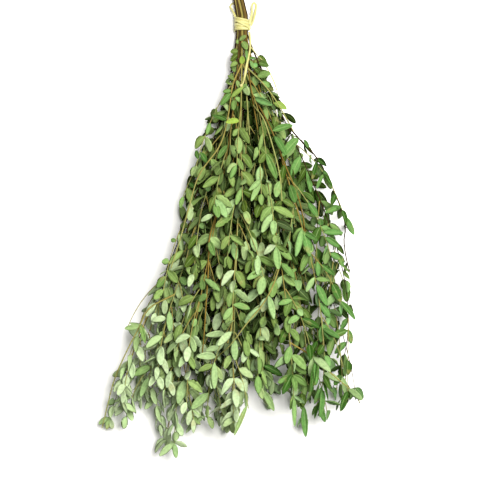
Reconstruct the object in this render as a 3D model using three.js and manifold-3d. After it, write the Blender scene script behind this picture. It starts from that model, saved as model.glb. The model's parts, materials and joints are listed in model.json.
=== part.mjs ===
// A bunch of dried small-leaved eucalyptus, tied with raffia and lying on its side.
// Millimetres, +Z up. The cut ends point to +Y and the leafy tips to -Y, and the bunch rests on z = 0.
// Each leafy stem is one body: a four-sided shoot whose sides open into twigs and leaves.

import * as THREE from "three";
import { mergeVertices } from "three/addons/utils/BufferGeometryUtils.js";
import Module from "manifold-3d";

const wasm = await Module();
wasm.setup();

// The tied end. Its stems stand in rows as close as they go, each about 0.3 mm from the next row.
const BINDING = {
  length: 18,
  innerRadius: 8.45,
  valleyRadius: 9.5,
  outerRadius: 10.1,
  turns: 7,
  flatTop: [0.3, 0.7],
  facets: 20,
};
const TIE = new THREE.Vector3(2.5, 270, BINDING.outerRadius);
const STEM_PITCH = 3.2;
const ROW_HEIGHT = (STEM_PITCH * Math.sqrt(3)) / 2;
const LEAVING_LENGTH = 12;
const STUB = { length: 54, stagger: 9, lean: -7, splay: 1.35 };

// The growth. A node is a place on a shoot where a leaf pair or a twig leaves it, and the solid keeps one in
// three. Lengths that vary do so by a share of themselves, and angles by a number of radians, end to end.
const STEM = { radius: 1.74, tipRadius: 0.8, spacing: 16, spacingVariation: 0.16, closeLength: 28 };
const STEM_HANDLES = [0.33, 0.7];
const TWIG = {
  radius: 0.95,
  tipRadius: 0.6,
  spacing: 12.5,
  length: 112,
  lengthVariation: 0.4,
  shorteningToTip: 0.5,
  longest: 1.12,
  fork: 0.46,
  forkVariation: 0.24,
  turnVariation: 0.8,
  hang: 1.7,
  rootShare: 0.7,
  leavingShare: 0.45,
  hangingShare: 0.52,
  handles: [0.36, 0.3],
};
const NODES_PER_SOLID_NODE = 3;
const FIRST_NODE = 12;
const LAST_NODE = 0.95;
const COLLAR_LENGTH = 1.8;
const FORK_COLLAR_LENGTH = 2.3;
const LEAF = {
  length: 25,
  width: 9.8,
  variation: 0.24,
  ridge: 1.2,
  leastRidge: 1.08,
  tilt: 0.9,
  tiltVariation: 0.36,
  tipTilt: 0.92,
  turnVariation: 0.4,
  droop: 0.22,
  smallest: 0.6,
  sizeStart: 0.18,
  sizeSpan: 0.74,
  widthPower: 0.9,
  stations: [
    { along: 0.34, wide: 0.92 },
    { along: 0.68, wide: 0.82 },
  ],
};
// Where the upper faces of the leaves look: away from the middle of the bunch, a little towards the tip of
// their shoot, and partly at random. Those close to the surface are pressed flat.
const LOOK = {
  outward: 0.006,
  level: 26,
  upward: 0.03,
  forward: 0.35,
  random: 1.5,
  pressed: 3,
  pressedBelow: 15,
};

// Clear distances between pieces, and the spacing of the points that stand for what is already there.
const ROOM = {
  cell: 6,
  step: 2.2,
  blade: 1.3,
  shoot: 0.4,
  rootedShare: 0.28,
  ownShootEase: 1.2,
  forkBalls: 3,
};
const FLOOR_GAP = 0.3;
const LEAF_TRIES = 4;
const GOLDEN_SHARE = 0.618;

// The stems, row by row through the tie, with the row that faces up first. A row number counts rows from the
// middle of the tie, and a place counts pitches to the right. tip is where the stem ends. swing and rise are
// how far to the side and how high its line is drawn, first at a third and then at two thirds of the way.
// leafy is the share of the way from which it bears leaves.
const STEMS = [
  { row: 2, place: -1, tip: [-74, -204, 44], swing: [-6, -50], rise: [78, 118], leafy: 0.05, twigs: 7 },
  { row: 2, place: 0, tip: [-10, -226, 50], swing: [2, -8], rise: [84, 128], leafy: 0.05, twigs: 7 },
  { row: 2, place: 1, tip: [60, -204, 44], swing: [18, 72], rise: [78, 118], leafy: 0.05, twigs: 7 },
  { row: 1, place: -1.5, tip: [-118, -186, 34], swing: [-12, -80], rise: [50, 92], leafy: 0.2, twigs: 6 },
  { row: 1, place: -0.5, tip: [-42, -220, 38], swing: [-2, -28], rise: [58, 94], leafy: 0.2, twigs: 4 },
  { row: 1, place: 0.5, tip: [28, -194, 38], swing: [10, 32], rise: [58, 94], leafy: 0.14, twigs: 4 },
  { row: 1, place: 1.5, tip: [98, -206, 34], swing: [38, 128], rise: [54, 92], leafy: 0.05, twigs: 7 },
  { row: 0, place: -2, tip: [-164, -222, 14], swing: [-21, -113], rise: [26, 60], leafy: 0.45, twigs: 5 },
  { row: 0, place: -1, tip: [-94, -250, 14], swing: [-10, -62], rise: [32, 64], leafy: 0.3, twigs: 4 },
  { row: 0, place: 0, tip: [2, -232, 22], swing: [4, 2], rise: [36, 70], leafy: 0.3, twigs: 3 },
  { row: 0, place: 1, tip: [78, -222, 20], swing: [22, 94], rise: [34, 68], leafy: 0.24, twigs: 4 },
  { row: 0, place: 2, tip: [116, -184, 22], swing: [62, 180], rise: [30, 66], leafy: 0.05, twigs: 7 },
  { row: -1, place: -1.5, tip: [-126, -150, 12], swing: [-14, -84], rise: [10, 34], leafy: 0.24, twigs: 4 },
  { row: -1, place: -0.5, tip: [-56, -212, 10], swing: [-4, -34], rise: [14, 38], leafy: 0.3, twigs: 4 },
  { row: -1, place: 0.5, tip: [36, -210, 10], swing: [12, 42], rise: [14, 38], leafy: 0.3, twigs: 4 },
  { row: -1, place: 1.5, tip: [144, -186, 12], swing: [36, 122], rise: [10, 34], leafy: 0.16, twigs: 6 },
  { row: -2, place: -1, tip: [-84, -164, 6], swing: [-8, -52], rise: [5, 12], leafy: 0.3, twigs: 4 },
  { row: -2, place: 0, tip: [8, -188, 6], swing: [4, 8], rise: [5, 12], leafy: 0.36, twigs: 4 },
  { row: -2, place: 1, tip: [84, -160, 6], swing: [26, 92], rise: [5, 12], leafy: 0.3, twigs: 4 },
];
// Twigs leave by turns to the left, to the right and on top, or at the next of these sides that has room.
const TWIG_SIDES = [2, 0, 1];

// The strands of raffia that are free of the binding, each as the points that it passes. The loops come down
// to the surface beside the cut ends, and the tails lie over the stems.
const STRAND_SIDES = 8;
const STRANDS = [
  {
    name: "raffia_loop_right",
    diameter: 1.1,
    steps: 24,
    route: [
      [12.6, 270.2, 14.3],
      [13.4, 276, 13.6],
      [14.8, 283, 10.5],
      [15, 290, 6],
      [15.4, 295.4, 2.6],
      [17.6, 298.2, 1.2],
      [20, 296.4, 1],
      [19.8, 290, 2.4],
      [18.3, 282, 6],
      [16.6, 275.5, 9.4],
      [15, 271, 11.4],
      [13.8, 268.6, 12.4],
    ],
  },
  {
    name: "raffia_loop_left",
    diameter: 1.1,
    steps: 22,
    route: [
      [-5.9, 279.7, 13.4],
      [-7, 282.5, 11.6],
      [-9, 287, 8],
      [-11, 290.6, 4.8],
      [-12.2, 293.4, 2.6],
      [-11.2, 296.2, 1.2],
      [-8.4, 297.6, 0.9],
      [-5, 296.8, 0.9],
      [-2, 293.5, 0.95],
      [0, 288.5, 1],
      [1.6, 283, 1.1],
      [2.3, 279.7, 1.2],
    ],
  },
  {
    name: "raffia_tail",
    diameter: 2.4,
    steps: 14,
    route: [
      [11.7, 260.6, 14.9],
      [12.5, 252, 18.4],
      [12.6, 241, 23],
      [11.6, 233, 27.6],
      [10, 225, 32.4],
      [8, 215, 35.8],
      [6.2, 206, 38.6],
      [5, 200, 41],
      [3.8, 195, 44.2],
      [2.4, 192.9, 45.6],
    ],
  },
  {
    name: "raffia_tail_fine",
    diameter: 0.9,
    steps: 30,
    route: [
      [14.1, 240.5, 22.3],
      [17.5, 236, 20.4],
      [22.5, 230, 18.6],
      [27.5, 225, 17.5],
      [33.8, 215, 16.8],
      [38.8, 206, 16.4],
      [43.8, 195, 16],
      [47.5, 181, 15.6],
      [48.8, 175, 15.2],
    ],
  },
];
const KNOT_FACETS = { round: 10, high: 7 };
const TAIL_KNOT = { name: "raffia_tail_knot", at: [1.3, 190.9, 46.8], radii: [2.6, 2.2, 2.1] };
const BOW_KNOT = { at: [11.4, 265.2, 14.9], radii: [2.4, 3, 2.4] };
// The strand that crosses the turns, from the left of the binding's top over to the bow knot.
const CROSSING = { diameter: 1.7, lift: 0.34, turn: [-0.5, 1.1], along: [5, -5], steps: 8 };

const finishes = {
  foliage: new THREE.MeshStandardMaterial({ color: 0x7fa35a, roughness: 0.62, metalness: 0 }),
  raffia: new THREE.MeshStandardMaterial({ color: 0xe6dd9a, roughness: 0.75, metalness: 0 }),
};

const lerp = THREE.MathUtils.lerp;
const vector = (x, y, z) => new THREE.Vector3(x, y, z);
const sum = (...vectors) => vectors.reduce((total, v) => total.add(v), vector(0, 0, 0));
const scaled = (v, by) => v.clone().multiplyScalar(by);
const HANG = vector(0, -1, -0.12).normalize();

// A share of 1 that varies by up to half of the variation each way.
const varied = (draw, variation) => 1 + variation * (draw - 0.5);

// A repeatable stream of numbers from 0 to 1. The first few follow the seed too closely and are passed over.
function seeded(seed) {
  let state = seed;
  const next = () => {
    state = (state * 1664525 + 1013904223) % 4294967296;
    return state / 4294967296;
  };
  for (let i = 0; i < 4; i++) next();
  return next;
}

// The room that is taken, as balls: each is a point with a reach, kept by the cell of space that it is in.
class Room {
  cells = new Map();

  key(x, y, z) {
    return [x, y, z].map((along) => Math.floor(along / ROOM.cell)).join();
  }

  take(balls, owner) {
    for (const ball of balls) {
      const key = this.key(...ball.at.toArray());
      if (!this.cells.has(key)) this.cells.set(key, []);
      this.cells.get(key).push({ ...ball, owner });
    }
  }

  near({ x, y, z }) {
    const steps = [-ROOM.cell, 0, ROOM.cell];
    const found = [];
    for (const dx of steps)
      for (const dy of steps)
        for (const dz of steps) found.push(...(this.cells.get(this.key(x + dx, y + dy, z + dz)) ?? []));
    return found;
  }

  // Whether the balls touch nothing. The rooted ones may touch their own shoot, and the others may come closer
  // to it.
  isFree(balls, owner) {
    const touches = (ball, other) => {
      const own = other.owner === owner;
      if (own && ball.rooted) return false;
      return other.at.distanceTo(ball.at) < other.reach + ball.reach - (own ? ROOM.ownShootEase : 0);
    };
    return balls.every((ball) => !this.near(ball.at).some((other) => touches(ball, other)));
  }
}

// A frame at one point of a shoot: forward is its direction, and right and over span its cross-section.
const tiedFrame = { forward: vector(0, -1, 0), right: vector(1, 0, 0), over: vector(0, 0, 1) };

function turnedTo(frame, forward) {
  const turn = new THREE.Quaternion().setFromUnitVectors(frame.forward, forward);
  return {
    forward: forward.clone(),
    right: frame.right.clone().applyQuaternion(turn),
    over: frame.over.clone().applyQuaternion(turn),
  };
}

// The four sides of a shoot are its right, its over and their opposites.
function sideDirection({ right, over }, side) {
  return [right, over, scaled(right, -1), scaled(over, -1)][side];
}

// The direction that leaves a shoot on one of its sides, turned round the shoot and tilted away from it.
function leaving(frame, side, turn, tilt) {
  const outward = sideDirection(frame, side).clone().applyAxisAngle(frame.forward, turn);
  return sum(scaled(frame.forward, Math.cos(tilt)), scaled(outward, Math.sin(tilt))).normalize();
}

// The nodes of a shoot, counted from its tip: each has its share of the way, its place and its frame.
function nodesOf(curve, spacing, start, leafyShare, closeLength) {
  const length = curve.getLength();
  const count = Math.floor((length - LAST_NODE - FIRST_NODE) / spacing) + 1;
  const nodes = [];
  let frame = start;
  for (let fromTip = count - 1; fromTip >= 0; fromTip--) {
    const share = (length - LAST_NODE - fromTip * spacing) / length;
    const close = share * length < closeLength;
    const bare = close || share < leafyShare;
    frame = turnedTo(frame, curve.getTangentAt(share));
    nodes.push({ fromTip, share, at: curve.getPointAt(share), frame, close, bare });
  }
  return nodes;
}

const solidNodes = (nodes) =>
  nodes.filter((node) => node.fromTip % NODES_PER_SOLID_NODE === 0 || node.close);

// The room of a shoot, as it runs straight from each of its solid nodes to the next.
function shootBalls(curve, nodes, radius) {
  const line = new THREE.CurvePath();
  const corners = [curve.getPointAt(0), ...solidNodes(nodes).map((node) => node.at), curve.getPointAt(1)];
  corners.slice(1).forEach((corner, i) => line.add(new THREE.LineCurve3(corners[i], corner)));
  const steps = Math.ceil(line.getLength() / ROOM.step);
  return line.getSpacedPoints(steps).map((at) => ({ at, reach: radius + ROOM.shoot }));
}

// A stem's place in the tie, its cut end and its line beyond the tie.
function plannedStem(stem, index) {
  const seed = 1000 * (index + 1);
  const random = seeded(seed);
  const offset = vector(stem.place * STEM_PITCH, 0, stem.row * ROW_HEIGHT);
  const tied = sum(TIE, offset);
  const cutLength = STUB.length + STUB.stagger * (2 * random() - 1);
  const cut = sum(tied, scaled(offset, STUB.splay - 1), vector(STUB.lean, cutLength, 0));
  const above = sum(tied, vector(0, LEAVING_LENGTH, 0));
  const exit = sum(tied, vector(0, -LEAVING_LENGTH, 0));
  const tip = vector(...stem.tip);
  const handles = STEM_HANDLES.map((share, i) =>
    vector(stem.swing[i], lerp(exit.y, tip.y, share), stem.rise[i]),
  );
  const curve = new THREE.CubicBezierCurve3(exit, ...handles, tip);
  const spacing = STEM.spacing * varied(random(), STEM.spacingVariation);
  const nodes = nodesOf(curve, spacing, tiedFrame, stem.leafy, STEM.closeLength);
  return { ...stem, seed, index, name: `stem ${index}`, curve, cut, through: [above, exit], nodes };
}

// A twig that forks from a node of its stem and bends over to hang, or nothing where it has no room.
function plannedTwig(draws, node, side, room) {
  const { frame, share } = node;
  const turn = TWIG.turnVariation * (draws[0] - 0.5);
  const away = leaving(frame, side, turn, TWIG.fork + TWIG.forkVariation * (draws[1] - 0.5));
  const hanging = sum(away, scaled(HANG, TWIG.hang)).normalize();
  const longest = TWIG.length * (TWIG.longest - TWIG.shorteningToTip * share);
  const length = longest * varied(draws[2], TWIG.lengthVariation);
  const root = sum(node.at, scaled(leaving(frame, side, turn, Math.PI / 2), TWIG.rootShare * STEM.radius));
  const bend = sum(root, scaled(away, length * TWIG.leavingShare));
  const tip = sum(bend, scaled(hanging, length * TWIG.hangingShare));
  tip.z = Math.max(tip.z, TWIG.radius + FLOOR_GAP);
  const handles = [
    sum(root, scaled(away, length * TWIG.handles[0])),
    sum(tip, scaled(hanging, -length * TWIG.handles[1])),
  ];
  const curve = new THREE.CubicBezierCurve3(root, ...handles, tip);
  const start = {
    forward: sideDirection(frame, side),
    right: sideDirection(frame, (side + 1) % 4),
    over: frame.forward,
  };
  const nodes = nodesOf(curve, TWIG.spacing, start, 0, 0);
  const balls = shootBalls(curve, nodes, TWIG.radius).slice(ROOM.forkBalls);
  const clear = balls.every((ball) => ball.at.z >= ball.reach) && room.isFree(balls, null);
  return clear ? { side, curve, nodes, balls } : null;
}

// Gives the stem the twig of this turn. The turns are spread evenly over its solid nodes.
function bearTwig(stem, turn, room) {
  const forks = solidNodes(stem.nodes).filter((node) => node.fromTip > 0 && !node.bare);
  const node = forks[Math.floor((turn * forks.length) / stem.twigs)];
  if (turn >= stem.twigs || !node || node.twig) return;
  const seed = stem.seed + 10 * (turn + 1);
  const random = seeded(seed);
  const draws = Array.from({ length: 3 }, random);
  const sides = TWIG_SIDES.map((_, i) => TWIG_SIDES[(turn + stem.index + i) % TWIG_SIDES.length]);
  const twig = sides.map((side) => plannedTwig(draws, node, side, room)).find((found) => found);
  if (!twig) return;
  const name = `twig ${stem.index}.${turn}`;
  room.take(twig.balls, name);
  node.twig = { ...twig, name, seed };
}

// Leaves are full size over the middle of a shoot and smaller towards its root and its tip.
const sizeAt = (share) =>
  lerp(LEAF.smallest, 1, Math.sin(Math.PI * (LEAF.sizeStart + share * LEAF.sizeSpan)));

// What one leaf needs: where it is rooted, which way it points, and which way its upper face looks.
function plannedLeaf(draws, node, side) {
  const size = sizeAt(node.share);
  const tilt = (node.fromTip === 0 ? LEAF.tipTilt : 1) * LEAF.tilt + LEAF.tiltVariation * (draws[1] - 0.5);
  const direction = leaving(node.frame, side, LEAF.turnVariation * (draws[0] - 0.5), tilt);
  const upward = node.at.z < LOOK.pressedBelow ? LOOK.pressed : (node.at.z - LOOK.level) * LOOK.upward;
  const look = sum(
    vector(node.at.x * LOOK.outward, 0, upward),
    scaled(vector(draws[2] - 0.5, draws[3] - 0.5, draws[4] - 0.5), LOOK.random),
    scaled(node.frame.forward, LOOK.forward),
  );
  const face = look.sub(scaled(direction, look.dot(direction))).normalize();
  if (node.at.z < LEAF.length && face.z < 0) face.negate();
  const length = LEAF.length * size * varied(draws[5], LEAF.variation);
  const width = LEAF.width * Math.sqrt(size) * varied(draws[6], LEAF.variation);
  return { side, root: node.at, direction, face, across: face.clone().cross(direction), length, width };
}

// A point of the blade: along runs from root to tip, across from edge to edge, and lift is above its middle.
// Nothing reaches below the surface, and the ridge stays above the underside.
function bladePoint(leaf, along, across, lift) {
  const point = sum(
    leaf.root,
    scaled(leaf.direction, leaf.length * along),
    scaled(HANG, leaf.length * LEAF.droop * along * along),
    scaled(leaf.across, (across * leaf.width) / 2),
    scaled(leaf.face, lift),
  );
  point.z = Math.max(point.z, lift > 0 ? LEAF.leastRidge : 0);
  return point;
}

function bladeBalls(leaf) {
  const balls = [];
  const rows = Math.ceil(leaf.length / ROOM.step);
  for (let i = 1; i <= rows; i++) {
    const along = i / rows;
    const half = Math.sin(Math.PI * Math.pow(along, LEAF.widthPower));
    const columns = Math.max(1, Math.ceil((half * leaf.width) / ROOM.step));
    for (let j = 0; j <= columns; j++) {
      const at = bladePoint(leaf, along, half * (-1 + (2 * j) / columns), LEAF.ridge / 3);
      balls.push({ at, reach: ROOM.blade, rooted: along < ROOM.rootedShare });
    }
  }
  return balls;
}

// The first of a few leaves, each turned another way, that has room. A leaf without room is left out.
function roomyLeaf(draws, node, side, room, owner) {
  for (let turn = 0; turn < LEAF_TRIES; turn++) {
    const turned = draws.map((draw) => (draw + turn * GOLDEN_SHARE) % 1);
    const leaf = plannedLeaf(turned, node, side);
    const balls = bladeBalls(leaf);
    if (room.isFree(balls, owner)) {
      room.take(balls, owner);
      return leaf;
    }
  }
  return null;
}

// Every leafy node has a pair, crosswise to the last pair, and draws its numbers also where the solid has
// none.
function bearLeaves(seed, nodes, room, owner) {
  const random = seeded(seed);
  for (const node of nodes) {
    const pair = [node.fromTip % 2, (node.fromTip % 2) + 2];
    const draws = pair.map(() => Array.from({ length: 7 }, random));
    if (node.bare || node.fromTip % NODES_PER_SOLID_NODE !== 0) continue;
    node.leaves = pair
      .map((side, i) => side !== node.twig?.side && roomyLeaf(draws[i], node, side, room, owner))
      .filter((leaf) => leaf);
  }
}

// Lays the skin of the shoots: corners are kept as points, and faces as triples of their numbers.
class Skin {
  points = [];
  faces = [];

  point(v) {
    this.points.push(v);
    return this.points.length - 1;
  }

  triangle(a, b, c) {
    this.faces.push(a, b, c);
  }

  quad(a, b, c, d) {
    this.triangle(a, b, c);
    this.triangle(a, c, d);
  }

  // Four corners round a shoot, counter-clockwise as its tip sees them. Side k lies between corners k and
  // k + 1.
  ring(centre, frame, radius) {
    return [-1, 1, 3, 5].map((eighth) => {
      const angle = (eighth * Math.PI) / 4;
      const aside = scaled(frame.right, radius * Math.cos(angle));
      return this.point(sum(centre, aside, scaled(frame.over, radius * Math.sin(angle))));
    });
  }

  // The corners that a growth on this side starts from, in its own counter-clockwise order.
  opening(lower, upper, side) {
    const next = (side + 1) % 4;
    return [lower[next], upper[next], upper[side], lower[side]];
  }

  wall(lower, upper, side) {
    const [a, b, c, d] = this.opening(lower, upper, side);
    this.quad(d, a, b, c);
  }

  sleeve(lower, upper) {
    for (let side = 0; side < 4; side++) this.wall(lower, upper, side);
  }

  close(ring, tip) {
    ring.forEach((corner, side) => this.triangle(corner, ring[(side + 1) % ring.length], tip));
  }

  // The four corners of an opening, turned so that the second and third lie highest above the blade's
  // underside.
  seated(corners, leaf) {
    const [right, left] = [1, -1].map((edge) => bladePoint(leaf, LEAF.stations[0].along, edge, 0));
    const turned = corners.map((_, first) => corners.map((_, k) => corners[(first + k) % 4]));
    const heights = turned.map(([, b, c, d]) => {
      const underside = new THREE.Plane().setFromCoplanarPoints(this.points[d], left, right);
      return Math.min(...[b, c].map((corner) => underside.distanceToPoint(this.points[corner])));
    });
    return turned[heights.indexOf(Math.max(...heights))];
  }

  // A blade with a flat underside and a ridge along its upper face, grown from the four corners of an opening.
  leaf(corners, leaf) {
    const [a, b, c, d] = this.seated(corners, leaf);
    let section = null;
    for (const { along, wide } of LEAF.stations) {
      const right = this.point(bladePoint(leaf, along, wide, 0));
      const ridge = this.point(bladePoint(leaf, along, 0, LEAF.ridge));
      const left = this.point(bladePoint(leaf, along, -wide, 0));
      if (section) {
        this.quad(section[0], section[1], ridge, right);
        this.quad(section[1], section[2], left, ridge);
        this.quad(section[2], section[0], right, left);
      } else {
        this.quad(b, ridge, right, a);
        this.quad(c, left, ridge, b);
        this.triangle(c, d, left);
        this.triangle(d, right, left);
        this.triangle(d, a, right);
      }
      section = [right, ridge, left];
    }
    this.close(section, this.point(bladePoint(leaf, 1, 0, 0)));
  }

  // A shoot from the ring that it starts at, through its nodes, to its tip. Each growth opens a side of a
  // collar.
  shoot(start, nodes, { radius, tipRadius }, tip) {
    let ring = start;
    for (const node of nodes) {
      const width = lerp(radius, tipRadius, node.share);
      const leaves = node.leaves ?? [];
      if (!node.twig && !leaves.length) {
        const bare = this.ring(node.at, node.frame, width);
        this.sleeve(ring, bare);
        ring = bare;
        continue;
      }
      const half = scaled(node.frame.forward, (node.twig ? FORK_COLLAR_LENGTH : COLLAR_LENGTH) / 2);
      const lower = this.ring(node.at.clone().sub(half), node.frame, width);
      const upper = this.ring(node.at.clone().add(half), node.frame, width);
      this.sleeve(ring, lower);
      for (let side = 0; side < 4; side++) {
        const leaf = leaves.find((found) => found.side === side);
        const corners = this.opening(lower, upper, side);
        if (leaf) this.leaf(corners, leaf);
        else if (node.twig?.side === side) this.twig(corners, node.twig);
        else this.wall(lower, upper, side);
      }
      ring = upper;
    }
    this.close(ring, this.point(tip));
  }

  twig(corners, twig) {
    this.shoot(corners, solidNodes(twig.nodes), TWIG, twig.curve.getPointAt(1));
  }

  geometry() {
    const places = this.points.flatMap((point) => point.toArray());
    return new THREE.BufferGeometry()
      .setAttribute("position", new THREE.Float32BufferAttribute(places, 3))
      .setIndex(this.faces);
  }
}

function leafyStemGeometry(stem) {
  const skin = new Skin();
  const start = skin.ring(stem.cut, tiedFrame, STEM.radius);
  skin.quad(start[3], start[2], start[1], start[0]);
  const tied = stem.through.map((at) => ({ at, share: 0, frame: tiedFrame }));
  skin.shoot(start, [...tied, ...solidNodes(stem.nodes)], STEM, stem.curve.getPointAt(1));
  return skin.geometry();
}

// A closed body as a solid, and back.
function solidOf(geometry) {
  const bare = geometry.clone();
  bare.deleteAttribute("normal");
  bare.deleteAttribute("uv");
  const closed = mergeVertices(bare, 1e-4);
  const vertProperties = new Float32Array(closed.attributes.position.array);
  const triVerts = new Uint32Array(closed.index.array);
  return new wasm.Manifold(new wasm.Mesh({ numProp: 3, vertProperties, triVerts }));
}

function geometryOf(solid) {
  const mesh = solid.getMesh();
  return new THREE.BufferGeometry()
    .setAttribute("position", new THREE.Float32BufferAttribute(mesh.vertProperties, mesh.numProp))
    .setIndex([...mesh.triVerts]);
}

const strandLine = (route) => new THREE.CatmullRomCurve3(route.map((at) => vector(...at)));

function strandGeometry({ route, diameter, steps }) {
  const corners = Array.from({ length: STRAND_SIDES }, (_, i) => {
    const angle = (2 * Math.PI * (i + 0.5)) / STRAND_SIDES;
    return new THREE.Vector2((diameter / 2) * Math.cos(angle), (diameter / 2) * Math.sin(angle));
  });
  const extrudePath = strandLine(route);
  return new THREE.ExtrudeGeometry(new THREE.Shape(corners), { extrudePath, steps, bevelEnabled: false });
}

const knotGeometry = ({ at, radii }) =>
  new THREE.SphereGeometry(1, KNOT_FACETS.round, KNOT_FACETS.high).scale(...radii).translate(...at);

// The raffia wound round the stems: a ring with a flat-topped rib for each turn, with its crossing strand and
// bow knot.
function bindingGeometry() {
  const { length, innerRadius, valleyRadius, outerRadius, turns, facets } = BINDING;
  const pitch = length / turns;
  const profile = [
    [innerRadius, -length / 2],
    [valleyRadius, -length / 2],
  ];
  for (let turn = 0; turn < turns; turn++) {
    const start = -length / 2 + turn * pitch;
    const [topStart, topEnd] = BINDING.flatTop.map((share) => start + share * pitch);
    profile.push([outerRadius, topStart], [outerRadius, topEnd], [valleyRadius, start + pitch]);
  }
  profile.push([innerRadius, length / 2], profile[0]);
  const outline = profile.map(([radius, along]) => new THREE.Vector2(radius, along));
  const ring = new THREE.LatheGeometry(outline, facets).translate(...TIE.toArray());
  const route = Array.from({ length: CROSSING.steps + 1 }, (_, i) => {
    const turn = lerp(...CROSSING.turn, i / CROSSING.steps);
    const radius = outerRadius + CROSSING.lift;
    const along = lerp(...CROSSING.along, i / CROSSING.steps);
    return [TIE.x + radius * Math.sin(turn), TIE.y + along, TIE.z + radius * Math.cos(turn)];
  });
  const crossing = strandGeometry({ ...CROSSING, route });
  return geometryOf(solidOf(ring).add(solidOf(crossing)).add(solidOf(knotGeometry(BOW_KNOT))));
}

function named(name, geometry, finish) {
  const mesh = new THREE.Mesh(geometry, finish);
  mesh.name = name;
  return mesh;
}

// The strands and the stems take their room first, then the twigs by turns, and the leaves last.
const room = new Room();
for (const { name, diameter, route } of STRANDS) {
  const line = strandLine(route);
  const points = line.getSpacedPoints(Math.ceil(line.getLength() / ROOM.step));
  room.take(points.map((at) => ({ at, reach: diameter / 2 + ROOM.shoot })), name);
}
room.take([{ at: vector(...TAIL_KNOT.at), reach: TAIL_KNOT.radii[0] + ROOM.shoot }], TAIL_KNOT.name);
const stems = STEMS.map(plannedStem);
for (const stem of stems) room.take(shootBalls(stem.curve, stem.nodes, STEM.radius), stem.name);
const mostTwigs = Math.max(...stems.map((stem) => stem.twigs));
for (let turn = 0; turn < mostTwigs; turn++) for (const stem of stems) bearTwig(stem, turn, room);
for (const stem of stems) {
  bearLeaves(stem.seed + 5, stem.nodes, room, stem.name);
  for (const { twig } of stem.nodes) if (twig) bearLeaves(twig.seed + 5, twig.nodes, room, twig.name);
}

const bunch = new THREE.Group();
for (const stem of stems) {
  const name = `leafy_stem_${String(stem.index + 1).padStart(2, "0")}`;
  bunch.add(named(name, leafyStemGeometry(stem), finishes.foliage));
}
bunch.add(named("raffia_binding", bindingGeometry(), finishes.raffia));
// The origin is on the surface, below the middle of what the free strands of raffia are tied to.
const box = new THREE.Box3().setFromObject(bunch);
const middle = box.getCenter(vector(0, 0, 0));
for (const strand of STRANDS) bunch.add(named(strand.name, strandGeometry(strand), finishes.raffia));
bunch.add(named(TAIL_KNOT.name, knotGeometry(TAIL_KNOT), finishes.raffia));
bunch.position.set(-middle.x, -middle.y, -box.min.z);

export default bunch;
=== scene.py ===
"""A bunch of dried small-leaved eucalyptus, tied with raffia and lying on its side, seen from above.

The shoots and leaves grow by the rules and seeds of the solid model, with more twigs and leaf pairs between.
Growth is worked out in millimetres in the drawing's own coordinates and placed in the frame in metres.
"""

import itertools
import json
import math
from types import SimpleNamespace

import bpy
import numpy as np
from bpy.props import FloatProperty, FloatVectorProperty, IntProperty, PointerProperty
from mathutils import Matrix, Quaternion, Vector

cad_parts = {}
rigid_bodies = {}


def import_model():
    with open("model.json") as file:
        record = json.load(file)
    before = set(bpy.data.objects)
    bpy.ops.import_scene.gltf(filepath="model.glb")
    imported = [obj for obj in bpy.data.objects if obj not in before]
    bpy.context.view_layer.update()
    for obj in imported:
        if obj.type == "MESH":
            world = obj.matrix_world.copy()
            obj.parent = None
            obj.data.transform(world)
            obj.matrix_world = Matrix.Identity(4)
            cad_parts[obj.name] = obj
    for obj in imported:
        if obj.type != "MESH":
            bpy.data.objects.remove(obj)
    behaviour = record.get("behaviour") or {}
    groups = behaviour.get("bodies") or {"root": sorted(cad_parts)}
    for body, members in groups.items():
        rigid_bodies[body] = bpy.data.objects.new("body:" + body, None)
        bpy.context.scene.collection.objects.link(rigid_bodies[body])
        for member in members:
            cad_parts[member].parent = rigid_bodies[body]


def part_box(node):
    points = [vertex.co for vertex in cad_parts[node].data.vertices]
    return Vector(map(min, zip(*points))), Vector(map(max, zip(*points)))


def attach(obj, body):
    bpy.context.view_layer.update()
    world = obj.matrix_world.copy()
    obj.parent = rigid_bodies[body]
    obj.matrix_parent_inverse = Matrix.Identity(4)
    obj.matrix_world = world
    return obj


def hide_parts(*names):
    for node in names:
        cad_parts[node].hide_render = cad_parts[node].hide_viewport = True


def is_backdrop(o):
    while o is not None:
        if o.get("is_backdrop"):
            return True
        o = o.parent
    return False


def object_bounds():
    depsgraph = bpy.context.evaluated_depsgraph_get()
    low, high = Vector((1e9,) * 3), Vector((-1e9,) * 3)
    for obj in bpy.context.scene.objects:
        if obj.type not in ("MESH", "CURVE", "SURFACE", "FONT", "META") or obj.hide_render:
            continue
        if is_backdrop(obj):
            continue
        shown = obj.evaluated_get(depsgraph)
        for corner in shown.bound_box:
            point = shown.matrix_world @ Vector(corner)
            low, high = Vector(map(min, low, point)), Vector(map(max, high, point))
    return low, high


bl_info = {
    "name": "Dried eucalyptus bunch",
    "version": (1, 0, 0),
    "blender": (4, 5, 0),
    "location": "View3D > Sidebar > Bunch",
    "description": "Builds a bunch of dried eucalyptus tied with raffia",
    "category": "Object",
}

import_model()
CAD_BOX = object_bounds()
BODY = "root"
MM = 0.001

# The tied end, in millimetres.
BINDING = SimpleNamespace(length=18, outer_radius=10.1)
TIE = np.array([2.5, 270, BINDING.outer_radius])
STEM_PITCH = 3.2
ROW_HEIGHT = STEM_PITCH * math.sqrt(3) / 2
LEAVING_LENGTH = 12
STUB = SimpleNamespace(length=54, stagger=9, lean=-9, splay=0.5)
BINDING_CORNER = np.array(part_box("raffia_binding")[0])
DRAWN_CORNER = np.array([TIE[0] - BINDING.outer_radius, TIE[1] - BINDING.length / 2, 0])
SHIFT = BINDING_CORNER * [1, 1, 0] - DRAWN_CORNER * MM

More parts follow.
